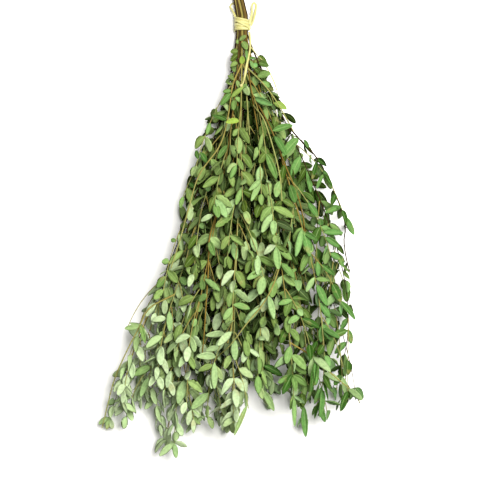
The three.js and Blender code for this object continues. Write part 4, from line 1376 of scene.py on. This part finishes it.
def blotch_group():
    """Uneven patches over a dry surface, in two sizes."""
    inputs, outputs = {"Scale": "Float", "Cover": "Float"}, {"Patches": "Float", "Grain": "Float"}
    tree, given, result = new_tree("Dry blotches", "ShaderNodeTree", inputs, outputs)
    where = object_place(tree)
    wide = noise(tree, where, given["Scale"], BLOTCH.detail)
    fine = noise(tree, where, calc(tree, "MULTIPLY", given["Scale"], BLOTCH.finer), BLOTCH.fine_detail)
    limit = calc(tree, "SUBTRACT", BLOTCH.limit, calc(tree, "MULTIPLY", given["Cover"], BLOTCH.cover))
    patches = ranged(tree, wide, limit, calc(tree, "ADD", limit, BLOTCH.edge))
    give(tree, result, {"Patches": patches, "Grain": fine})
    return tree


FIBRE = SimpleNamespace(along=60.0, detail=3.0, band_across=1.6, band_along=45.0, band_detail=1.0)


def fibre_group():
    """Long fibres that run along a strand or a stem, and slower bands."""
    tree, given, result = new_tree("Long fibres", "ShaderNodeTree", {
        "Across": "Float", "Along": "Float", "Fineness": "Float",
    }, {"Fibres": "Float", "Bands": "Float"})
    patterns = []
    for across, along, detail in (
        (given["Fineness"], FIBRE.along, FIBRE.detail),
        (FIBRE.band_across, FIBRE.band_along, FIBRE.band_detail),
    ):
        place = made(tree, "ShaderNodeCombineXYZ", {
            "X": calc(tree, "MULTIPLY", given["Across"], across),
            "Y": calc(tree, "MULTIPLY", given["Along"], along),
        })
        patterns.append(noise(tree, place, 1.0, detail))
    give(tree, result, dict(zip(("Fibres", "Bands"), patterns)))
    return tree


VEIN = SimpleNamespace(
    rib_end=1.25, rib_core=0.35, slant=0.17, line=(0.04, 0.17), reach=(0.55, 0.98), edge=(0.82, 1.0)
)
FALLING = (1.0, 0.0)


def vein_group():
    """The midrib and side veins of a leaf, read from its UV map, and which face is the underside."""
    tree, given, result = new_tree("Leaf veins", "ShaderNodeTree", {
        "Leaf place": "Vector", "Pairs": "Float", "Rib width": "Float",
    }, {"Midrib": "Float", "Veins": "Float", "Underside": "Float", "Edge": "Float"})
    place = axes(tree, given["Leaf place"])
    under = calc(tree, "GREATER_THAN", place["X"], UNDERSIDE_START)
    across = calc(tree, "SUBTRACT", place["X"], calc(tree, "MULTIPLY", under, UNDERSIDE_SHIFT))
    side = calc(tree, "ABSOLUTE", calc(tree, "MULTIPLY_ADD", across, 2.0, -1.0))
    width = calc(tree, "MULTIPLY", given["Rib width"], calc(tree, "SUBTRACT", VEIN.rib_end, place["Y"]))
    midrib = ranged(tree, side, calc(tree, "MULTIPLY", width, VEIN.rib_core), width, *FALLING)
    slanted = calc(tree, "SUBTRACT", place["Y"], calc(tree, "MULTIPLY", side, VEIN.slant))
    wave = calc(tree, "FRACT", calc(tree, "MULTIPLY", slanted, given["Pairs"]))
    line = ranged(tree, calc(tree, "ABSOLUTE", calc(tree, "SUBTRACT", wave, 0.5)), *VEIN.line, *FALLING)
    veins = calc(tree, "MULTIPLY", line, ranged(tree, side, *VEIN.reach, *FALLING))
    give(tree, result, {
        "Midrib": midrib, "Veins": veins, "Underside": under, "Edge": ranged(tree, side, *VEIN.edge),
    })
    return tree


# The inner share says how far painted shade darkens the leaves that sit deepest.
LEAF_LOOK = SimpleNamespace(
    gloss=0.04, pairs=11.0, rib_width=0.16, blotch_scale=55.0, blotch_cover=0.45, lime=(1.0, 2.0),
    patches=0.4, inner=0.92, grain=(0.3, 0.7, 0.84, 1.12), underside=0.45, edge=0.5, veins=0.1, midrib=0.26,
    rough_grain=(0.2, 0.8), smoother=0.1, rougher=0.12, vein_relief=0.3, grain_relief=0.9, bump=0.35,
    bump_depth=0.0004,
)


def leaf_material(settings, blotches, veins):
    """Waxy leaves that go from deep to pale by their tone, darker and greener to the right of the bunch and
    paler and warmer to the left, with painted shade on those that sit deep in the bunch.
    """
    look = LEAF_LOOK
    material, tree, shader = new_material("Dried leaf", settings.roughness, look.gloss)
    tone, warmth = read(tree, "tone"), read(tree, "warmth")
    place = made(tree, "ShaderNodeUVMap", uv_map="UVMap")
    vein = group(tree, veins, {"Leaf place": place, "Pairs": look.pairs, "Rib width": look.rib_width})
    patch = group(tree, blotches, {"Scale": look.blotch_scale, "Cover": look.blotch_cover})
    deep = mixed(tree, warmth, settings.deep_green, settings.olive_green)
    middle = mixed(tree, warmth, settings.leaf_green, settings.moss_green)
    pale = mixed(tree, warmth, settings.grey_green, settings.straw_green)
    lower, upper = calc(tree, "MULTIPLY", tone, 2.0), calc(tree, "MULTIPLY_ADD", tone, 2.0, -1.0)
    colour = mixed(tree, upper, mixed(tree, lower, deep, middle), pale)
    colour = mixed(tree, ranged(tree, warmth, *look.lime), colour, settings.lime)
    colour = layered(tree, colour, settings.dry_tan, patch["Patches"], look.patches)
    # Painted shade: leaves that sit deep in the bunch are darkened by their inner value.
    colour = layered(tree, colour, settings.painted_shade_green, read(tree, "inner"), look.inner)
    grain = ranged(tree, patch["Grain"], *look.grain)
    grey = made(tree, "ShaderNodeCombineXYZ", {axis: grain for axis in "XYZ"})
    colour = mixed(tree, 1.0, colour, grey, "MULTIPLY")
    colour = layered(tree, colour, settings.underside, vein["Underside"], look.underside)
    rusty = calc(tree, "MULTIPLY", patch["Grain"], look.edge)
    colour = layered(tree, colour, settings.dry_tan, vein["Edge"], rusty)
    colour = layered(tree, colour, settings.rib, vein["Veins"], look.veins)
    colour = layered(tree, colour, settings.rib, vein["Midrib"], look.midrib)
    limits = (settings.roughness - look.smoother, settings.roughness + look.rougher)
    tree.links.new(ranged(tree, patch["Grain"], *look.rough_grain, *limits), shader.inputs["Roughness"])
    relief = calc(tree, "ADD", calc(tree, "MULTIPLY", vein["Veins"], look.vein_relief), vein["Midrib"])
    relief = calc(tree, "ADD", relief, calc(tree, "MULTIPLY", patch["Grain"], look.grain_relief))
    dress(tree, shader, colour, relief, look)
    return material


BARK_LOOK = SimpleNamespace(
    roughness=0.62, gloss=0.1, blotch_scale=120.0, blotch_cover=0.6, winding=900.0, fineness=1.4,
    grown=(0.05, 0.5), old=(0.5, 1.0), dark=(0.5, 0.42, 0.35), patches=0.45, streaks=(0.35, 0.7),
    fading=(0.5, 1.0, 0.3, 0.05), cut=(1.12, 1.2), grain_relief=0.6, bump=0.5, bump_depth=0.0003,
)


def bark_material(settings, blotches, fibres):
    """Bark that goes from young to old by its age, with the cut face beyond the oldest."""
    look = BARK_LOOK
    material, tree, shader = new_material("Dried bark", look.roughness, look.gloss)
    age = read(tree, "age")
    patch = group(tree, blotches, {"Scale": look.blotch_scale, "Cover": look.blotch_cover})
    place = axes(tree, object_place(tree))
    around = calc(tree, "ADD", calc(tree, "MULTIPLY", place["X"], look.winding), place["Z"])
    fibre = group(tree, fibres, {"Across": around, "Along": place["Y"], "Fineness": look.fineness})
    young = mixed(tree, ranged(tree, age, *look.grown), settings.young, settings.grown)
    colour = mixed(tree, ranged(tree, age, *look.old), young, settings.old)
    dark = mixed(tree, 1.0, colour, look.dark, "MULTIPLY")
    colour = layered(tree, colour, dark, patch["Patches"], look.patches)
    streak = ranged(tree, fibre["Fibres"], *look.streaks)
    colour = layered(tree, colour, settings.streak, streak, ranged(tree, age, *look.fading))
    colour = mixed(tree, ranged(tree, age, *look.cut), colour, settings.cut)
    relief = calc(tree, "ADD", fibre["Fibres"], calc(tree, "MULTIPLY", patch["Grain"], look.grain_relief))
    dress(tree, shader, colour, relief, look)
    return material


# How the raffia is coloured, with a painted highlight on its fibres and painted shade in its bands and along
# its edges.
RAFFIA_LOOK = SimpleNamespace(
    roughness=0.46, gloss=0.4, fineness=7.0, blotch_scale=160.0, blotch_cover=0.3, bands=(0.35, 0.65),
    bright=(0.5, 0.75), dark=(0.72, 0.66, 0.46), gaps=(0.26, 0.42, 0.8, 0.0), patches=0.3,
    edges=(0.72, 0.98, 0.0, 0.9), bump=0.7, bump_depth=0.0003,
)


def raffia_material(settings, blotches, fibres):
    """Bleached fibres with darker gaps between them, and painted shade along the edges of the strip for the
    grooves between the turns.
    """
    look = RAFFIA_LOOK
    material, tree, shader = new_material("Raffia strip", look.roughness, look.gloss)
    across, along = read(tree, "strand_across"), read(tree, "strand_along")
    fibre = group(tree, fibres, {"Across": across, "Along": along, "Fineness": look.fineness})
    patch = group(tree, blotches, {"Scale": look.blotch_scale, "Cover": look.blotch_cover})
    # Painted shade in bands and a painted highlight on fibres, over the plain colour.
    base = mixed(tree, ranged(tree, fibre["Bands"], *look.bands), settings.shaded, settings.plain)
    colour = mixed(tree, ranged(tree, fibre["Fibres"], *look.bright), base, settings.bright)
    dark = mixed(tree, 1.0, colour, look.dark, "MULTIPLY")
    colour = mixed(tree, ranged(tree, fibre["Fibres"], *look.gaps), colour, dark)
    colour = layered(tree, colour, dark, patch["Patches"], look.patches)
    # Painted shade along the edges of the strip, where one turn meets the next.
    colour = mixed(tree, ranged(tree, calc(tree, "ABSOLUTE", across), *look.edges), colour, dark)
    dress(tree, shader, colour, fibre["Fibres"], look)
    return material


def shared_tree(name, build):
    """A node tree that is built once and then shared."""
    return bpy.data.node_groups.get(name) or build()


def surface_trees():
    return shared_tree("Dry blotches", blotch_group), shared_tree("Long fibres", fibre_group)


def colour_property(name, default, description):
    return FloatVectorProperty(
        name=name, description=description, default=default, size=3, min=0, max=1, subtype="COLOR"
    )


class LeafSettings(bpy.types.PropertyGroup):
    droop: FloatProperty(
        name="Droop", description="How far a leaf's tip sinks, as a share of its length",
        default=FINE.droop, min=0,
    )
    thickness: FloatProperty(
        name="Least thickness", description="Thickness of a leaf that lies flat", default=0.0004,
        unit="LENGTH",
    )
    roughness: FloatProperty(name="Roughness", description="Dullness of the wax", default=0.5, min=0, max=1)
    # The colours of the shaded side are used towards the right of the bunch, those of the other side towards
    # the left.
    deep_green: colour_property("Deep green", (0.02, 0.07, 0.006), "Darkest leaves on the shaded side")
    grey_green: colour_property("Grey green", (0.18, 0.38, 0.135), "Palest leaves on the shaded side")
    olive_green: colour_property("Olive green", (0.045, 0.075, 0.006), "Darkest leaves on the bleached side")
    leaf_green: colour_property("Leaf green", (0.095, 0.22, 0.055), "Leaves between, on the shaded side")
    moss_green: colour_property("Moss green", (0.18, 0.265, 0.075), "Leaves between, on the bleached side")
    straw_green: colour_property("Straw green", (0.37, 0.465, 0.27), "Palest leaves on the bleached side")
    # Painted shade for the leaves that sit deep inside the bunch.
    painted_shade_green: colour_property("Inner green", (0.01, 0.026, 0.001), "Leaves deep inside the bunch")
    lime: colour_property("Lime", (0.205, 0.3, 0.045), "The few leaves that have stayed yellow green")
    dry_tan: colour_property("Dry tan", (0.27, 0.22, 0.08), "Edges and patches that have dried brown")
    underside: colour_property("Underside", (0.2, 0.32, 0.1), "The bloom on the lower face")
    rib: colour_property("Midrib", (0.33, 0.45, 0.17), "Midrib and veins")


class ShootSettings(bpy.types.PropertyGroup):
    sides: IntProperty(name="Sides", description="Facets round a shoot", default=7, min=3, max=16)
    young: colour_property("Young twig", (0.215, 0.24, 0.075), "Tips of the twigs")
    grown: colour_property("Grown twig", (0.185, 0.125, 0.02), "Roots of the twigs and tips of the stems")
    old: colour_property("Old stem", (0.02, 0.008, 0.002), "Stems at the tie")
    streak: colour_property("Streak", (0.3, 0.2, 0.05), "Pale fibres in the bark")
    cut: colour_property("Cut face", (0.62, 0.5, 0.3), "Wood at the cut ends")


class RaffiaSettings(bpy.types.PropertyGroup):
    sides: IntProperty(name="Sides", description="Facets round a strip", default=12, min=6, max=24)
    flatness: FloatProperty(name="Flatness", description="Thickness over width", default=0.26, min=0.1, max=1)
    crease: FloatProperty(name="Crease", description="How far a strip folds along its middle", default=-0.12)
    # Painted highlight and painted shade: the bright colour is the strip where light catches it and the
    # shaded colour is the strip in shade, laid over the plain colour by fibres and by bands.
    plain: colour_property("Plain raffia", (0.5, 0.485, 0.21), "Most of the strip")
    bright: colour_property("Bright raffia", (0.59, 0.59, 0.32), "Fibres that catch the light")
    shaded: colour_property("Shaded raffia", (0.38, 0.34, 0.1), "Bands that have kept more colour")


class StageSettings(bpy.types.PropertyGroup):
    view_width: FloatProperty(
        name="View width", description="Width that the picture spans", default=0.6, unit="LENGTH"
    )
    view_level: FloatProperty(
        name="View level", description="Height at which it spans that width", default=0.02, unit="LENGTH"
    )
    lens: FloatProperty(name="Lens", description="Focal length", default=180, subtype="DISTANCE_CAMERA")
    key_power: FloatProperty(
        name="Key light", description="Power of the window light", default=146, subtype="POWER"
    )
    key_size: FloatProperty(
        name="Key size", description="Width of the window light", default=1.3, unit="LENGTH"
    )
    sky: FloatProperty(name="Sky", description="Strength of the light from all round", default=0.16, min=0)
    floor: colour_property("Floor", (0.86, 0.86, 0.86), "The pale surface below the bunch")


SENSOR_WIDTH = 36
FLOOR_WIDTH = 6
FLOOR_DEPTH = 0.0002
FLOOR_ROUGHNESS = 0.8
KEY_PLACE = Vector((0.6, 0.5, 2.3))
KEY_COLOUR = (1, 0.98, 0.95)
SKY_COLOUR = (1, 0.985, 0.94)


def set_camera(scene, settings):
    """A camera straight above the bunch that spans the view's width."""
    camera = bpy.data.objects.new("Camera", bpy.data.cameras.new("Camera"))
    camera.data.lens = settings.lens
    camera.data.sensor_width = SENSOR_WIDTH
    height = settings.view_level + settings.view_width * settings.lens / SENSOR_WIDTH
    camera.location = (*SHIFT[:2], height)
    scene.collection.objects.link(camera)
    scene.camera = camera


def lay_floor(settings):
    """The surface that the bunch lies on."""
    half = FLOOR_WIDTH / 2
    mesh = bpy.data.meshes.new("Surface")
    corners = [(-half, -half), (half, -half), (half, half), (-half, half)]
    mesh.from_pydata([(x, y, -FLOOR_DEPTH) for x, y in corners], [], [(0, 1, 2, 3)])
    floor = new_piece("Surface", mesh)
    material, _, shader = new_material("Pale surface", FLOOR_ROUGHNESS)
    shader.inputs["Base Color"].default_value = (*settings.floor, 1)
    mesh.materials.append(material)
    floor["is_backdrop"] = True


def light_up(scene, settings):
    """A broad window light from the upper right, and a weak light from all round."""
    light = bpy.data.lights.new("Window", "AREA")
    light.energy = settings.key_power
    light.size = settings.key_size
    light.color = KEY_COLOUR
    lamp = bpy.data.objects.new("Window", light)
    lamp.location = KEY_PLACE
    lamp.rotation_euler = KEY_PLACE.to_track_quat("Z", "Y").to_euler()
    scene.collection.objects.link(lamp)
    world = bpy.data.worlds.new("Daylight")
    world.use_nodes = True
    sky = world.node_tree.nodes["Background"].inputs
    sky["Color"].default_value = (*SKY_COLOUR, 1)
    sky["Strength"].default_value = settings.sky
    scene.world = world


class BUNCH_OT_stage(bpy.types.Operator):
    """Makes the camera, the lights and the surface that the bunch lies on."""

    bl_idname = "bunch.stage"
    bl_label = "Stage"

    def execute(self, context):
        scene = context.scene
        set_camera(scene, scene.bunch_stage)
        lay_floor(scene.bunch_stage)
        light_up(scene, scene.bunch_stage)
        scene.view_settings.view_transform = "Standard"
        return {"FINISHED"}


def strand_mesh(name, strands):
    """Lines of raffia: each its points, the way it lies at each, and half its breadth at each."""
    points, lies, breadths, edges = [], [], [], []
    for line, lie, breadth in strands:
        first = len(points)
        points += list(placed(line))
        lies += [tuple(way) for way in lie]
        breadths += list(np.broadcast_to(np.asarray(breadth) * MM, len(line)))
        edges += [(i, i + 1) for i in range(first, len(points) - 1)]
    values = {"lie": ("FLOAT_VECTOR", lies), "breadth": ("FLOAT", breadths)}
    return line_mesh(name, points, edges, values)


def strip_piece(context, name, strands, flatness=None):
    """A piece of raffia made of strips."""
    settings = context.scene.bunch_raffia
    material = bpy.data.materials.get("Raffia strip") or raffia_material(settings, *surface_trees())
    piece = new_piece(name, strand_mesh(name, strands))
    made_plain(piece, shared_tree("Raffia strand", strand_tree), {
        "Sides": settings.sides, "Flatness": flatness or settings.flatness, "Crease": settings.crease,
        "Raffia": material,
    })
    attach(piece, BODY)
    return piece


TURNING_PACE = 2.6 * math.pi


def lying(line, base, twist=0.0, turns=0.0):
    """The way a strip lies along its line: square to it, towards base, turned more and more by a twist."""
    lies = []
    for number, heading in enumerate(np.gradient(line, axis=0)):
        heading = Vector(heading).normalized()
        way = Vector(base)
        way = (way - heading * way.dot(heading)).normalized()
        share = number / (len(line) - 1)
        angle = twist + turns * math.sin(TURNING_PACE * share) + turns * share
        lies.append(Quaternion(heading, angle) @ way)
    return lies


def tie_ring(turn, along, radius):
    """A point round the tie: turn is the angle from the top towards the right."""
    return TIE + np.array([radius * math.sin(turn), along, radius * math.cos(turn)])


WOUND = SimpleNamespace(
    turns=7.4, steps=48, radius=9.42, over=0.28, over_share=0.3, breadth=1.1, slant=0.5, slope=2.2,
    under_radius=8.86, under_turns=5.0, under_breadth=1.5, edge=1.5, flatness=0.36, start=2.2, lean=0.1,
    swelling=0.16, seed=77, phases=6, paces=(0.5, 0.5, 0.37, 0.61),
)


def wound_strands():
    """The turns of raffia round the stems: an inner layer wound one way and an outer one the other."""
    strands = []
    random = seeded(WOUND.seed)
    reach = BINDING.length / 2 - WOUND.edge
    for turns, radius, breadth, way in (
        (WOUND.under_turns, WOUND.under_radius, WOUND.under_breadth, -1),
        (WOUND.turns, WOUND.radius, WOUND.breadth, 1),
    ):
        count = round(turns * WOUND.steps)
        phases = [WOUND.phases * next(random) for _ in WOUND.paces]
        line, lies, breadths = [], [], []
        for i in range(count + 1):
            share = i / count
            turn = way * 2 * math.pi * turns * share + WOUND.start
            slant, over, lean, swelling = (
                math.sin(pace * turn + phase) for pace, phase in zip(WOUND.paces, phases)
            )
            along = reach * (1 - 2 * share) + WOUND.slant * slant - WOUND.slope * (1 - share) * math.sin(turn)
            rise = WOUND.over * WOUND.over_share * (1 + over) * (way > 0)
            line.append(tie_ring(turn, along, radius + rise))
            lies.append(Vector((math.sin(turn), WOUND.lean * lean, math.cos(turn))).normalized())
            breadths.append(breadth * (1 + WOUND.swelling * swelling))
        strands.append((line, lies, breadths))
    return strands


# The strips that cross the turns: from where to where, and each one's spread, shift, rise and breadth.
CROSSING = SimpleNamespace(
    turns=(-0.85, 1.1), along=(5, -5), points=25, tuck=0.7, untucked=6, rock=0.25, rock_pace=5,
    strips=((0.0, 0.0, 0.8, 1.2), (0.14, 1.3, 0.3, 0.7)),
)


def crossing_strands():
    """The strips that cross the turns, from the left of the top over to the bow knot."""
    strands = []
    for spread, shift, rise, breadth in CROSSING.strips:
        line, lies = [], []
        for share in np.linspace(0, 1, CROSSING.points):
            turn = np.interp(share, (0, 1), CROSSING.turns) - spread
            along = np.interp(share, (0, 1), CROSSING.along) + shift
            tucked = CROSSING.tuck * max(0, 1 - CROSSING.untucked * share)
            line.append(tie_ring(turn, along, BINDING.outer_radius + rise - tucked))
            rock = CROSSING.rock * math.sin(CROSSING.rock_pace * share)
            lies.append(Vector((math.sin(turn), rock, math.cos(turn))).normalized())
        strands.append((line, lies, breadth))
    return strands


WRAP = SimpleNamespace(points=27, turn=2 * math.pi * 1.08, growth=0.05, drift=0.12)


def knot_strands(knot, wraps):
    """Short wraps round a knot: each its axis, its radius share, its breadth and how far it is shifted."""
    strands = []
    centre, radii = np.array(knot.at), np.array(knot.radii)
    for axis, share, breadth, shift in wraps:
        axis = Vector(axis).normalized()
        first = axis.orthogonal().normalized()
        second = axis.cross(first)
        line, lies = [], []
        for turn in np.linspace(0, WRAP.turn, WRAP.points):
            way = first * math.cos(turn) + second * math.sin(turn)
            outward = np.array(way) * radii * share * (1 + WRAP.growth * turn / math.pi)
            line.append(centre + outward + np.array(axis) * (shift + WRAP.drift * turn))
            lies.append(way)
        strands.append((line, lies, breadth))
    return strands


BOW_WRAPS = (
    ((0.1, 1, 0.1), 0.62, 1.5, 0.0),
    ((0.9, 0.45, 0.3), 0.72, 1.15, 0.2),
    ((-0.5, 0.6, 0.8), 0.78, 0.9, -0.3),
)
TAIL_WRAPS = (
    ((0.2, 1, -0.2), 0.6, 1.2, 0.0),
    ((0.9, 0.3, 0.5), 0.74, 0.9, 0.1),
)
KNOT_FLATNESS = 0.4
# The short strip over the knot, from the right loop's root to the tail's.
BRIDGE = SimpleNamespace(
    step=0.6, lie=(0.3, 0, 1), breadth=1.0,
    route=((12.4, 268.6, 14.9), (12, 267, 15.2), (11.5, 265.2, 15), (11.5, 263.4, 14.9), (11.6, 262, 14.9)),
)


class BUNCH_OT_raffia_binding(bpy.types.Operator):
    """Winds the raffia round the stems and ties the bow's knot."""

    bl_idname = "bunch.raffia_binding"
    bl_label = "Raffia binding"

    def execute(self, context):
        line = strand_line(BRIDGE.route, BRIDGE.step)
        strands = wound_strands() + crossing_strands() + knot_strands(BOW_KNOT, BOW_WRAPS)
        strands.append((line, lying(line, BRIDGE.lie), BRIDGE.breadth))
        piece = strip_piece(context, "raffia_winding", strands, WOUND.flatness)
        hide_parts("raffia_binding")
        return {"FINISHED"}


STRAND_STEP = 0.8
SWELLING = SimpleNamespace(height=0.12, pace=9, start=1)
# How each free strand lies: half its breadth in its own diameters, its twist, its turns and its far end.
STRAND_LIES = {
    "raffia_loop_right": (1.3, 0.0, 0.15, "object"),
    "raffia_loop_left": (1.15, 0.0, -0.15, "object"),
    "raffia_tail": (0.56, 0.0, 0.35, "knot"),
    "raffia_tail_fine": (0.85, 0.3, 0.5, "bare"),
}


class BUNCH_OT_raffia_ends(bpy.types.Operator):
    """Lays the bow's loops and tails, each at its own length."""

    bl_idname = "bunch.raffia_ends"
    bl_label = "Raffia loops and tails"

    def execute(self, context):
        knot = strip_piece(context, "tail_knot", knot_strands(TAIL_KNOT, TAIL_WRAPS), KNOT_FLATNESS)
        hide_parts("raffia_tail_knot")
        for name, (diameter, route) in STRANDS.items():
            breadth, twist, turns, far_end = STRAND_LIES[name]
            line = strand_line(route, STRAND_STEP)
            lies = lying(line, UP, twist, turns)
            swelling = np.sin(SWELLING.pace * np.linspace(0, 1, len(line)) + SWELLING.start)
            half = breadth * diameter * (1 + SWELLING.height * swelling)
            piece = strip_piece(context, name.replace("raffia", "strip"), [(line, lies, half)])
            path = placed(line)
            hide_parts(name)
            tuple(path[0])
            [tuple(point) for point in path]
        return {"FINISHED"}


class BUNCH_OT_leafy_stems(bpy.types.Operator):
    """Grows the stems with their twigs and leaves."""

    bl_idname = "bunch.leafy_stems"
    bl_label = "Leafy stems"

    def execute(self, context):
        leaves, shoots = context.scene.bunch_leaves, context.scene.bunch_shoots
        blotches, fibres = surface_trees()
        leaf = leaf_material(leaves, blotches, shared_tree("Leaf veins", vein_group))
        bark = bark_material(shoots, blotches, fibres)
        shapes = bpy.data.collections.new("Leaf shapes")
        for name, form in LEAF_KINDS.items():
            shapes.objects.link(leaf_shape(name, form))
        tree = shared_tree("Leafy shoots", shoots_tree)
        stems = grown_bunch()
        tops = top_levels(stems)
        for stem in stems:
            number = f"{stem.index + 1:02d}"
            piece = new_piece(f"eucalyptus_stem_{number}", growth_mesh(stem, tops))
            made_plain(piece, tree, {
                "Leaf shapes": shapes, "Shoot sides": shoots.sides, "Droop": leaves.droop,
                "Thickness": leaves.thickness, "Leaf": leaf, "Bark": bark,
            })
            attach(piece, BODY)
            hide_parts(f"leafy_stem_{number}")
        for shape in list(shapes.objects):
            bpy.data.objects.remove(shape)
        bpy.data.collections.remove(shapes)
        return {"FINISHED"}


class BUNCH_PT_panel(bpy.types.Panel):
    """Lists the steps that make the bunch, with their sizes and colours."""

    bl_idname = "BUNCH_PT_panel"
    bl_label = "Eucalyptus bunch"
    bl_space_type = "VIEW_3D"
    bl_region_type = "UI"
    bl_category = "Bunch"

    def draw(self, context):
        for operator, name in STEPS:
            self.layout.operator(operator.bl_idname)
            settings = getattr(context.scene, name)
            for item in settings.bl_rna.properties:
                if item.identifier not in ("rna_type", "name"):
                    self.layout.prop(settings, item.identifier)


# The steps in the order in which they are made, each with the settings that it reads most.
STEPS = (
    (BUNCH_OT_stage, "bunch_stage"),
    (BUNCH_OT_raffia_ends, "bunch_raffia"),
    (BUNCH_OT_raffia_binding, "bunch_raffia"),
    (BUNCH_OT_leafy_stems, "bunch_leaves"),
)
SETTINGS = {
    "bunch_leaves": LeafSettings,
    "bunch_shoots": ShootSettings,
    "bunch_raffia": RaffiaSettings,
    "bunch_stage": StageSettings,
}


def register():
    for name, settings in SETTINGS.items():
        bpy.utils.register_class(settings)
        setattr(bpy.types.Scene, name, PointerProperty(type=settings))
    for operator, _ in STEPS:
        bpy.utils.register_class(operator)
    bpy.utils.register_class(BUNCH_PT_panel)


def unregister():
    bpy.utils.unregister_class(BUNCH_PT_panel)
    for operator, _ in reversed(STEPS):
        bpy.utils.unregister_class(operator)
    for name, settings in SETTINGS.items():
        delattr(bpy.types.Scene, name)
        bpy.utils.unregister_class(settings)


def main():
    register()
    for operator, _ in STEPS:
        category, name = operator.bl_idname.split(".")
        getattr(getattr(bpy.ops, category), name)()
    boxes = {"cad": CAD_BOX, "visual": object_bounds()}
    {name: [[float(v) for v in corner] for corner in box] for name, box in boxes.items()}


if __name__ == "__main__":
    main()
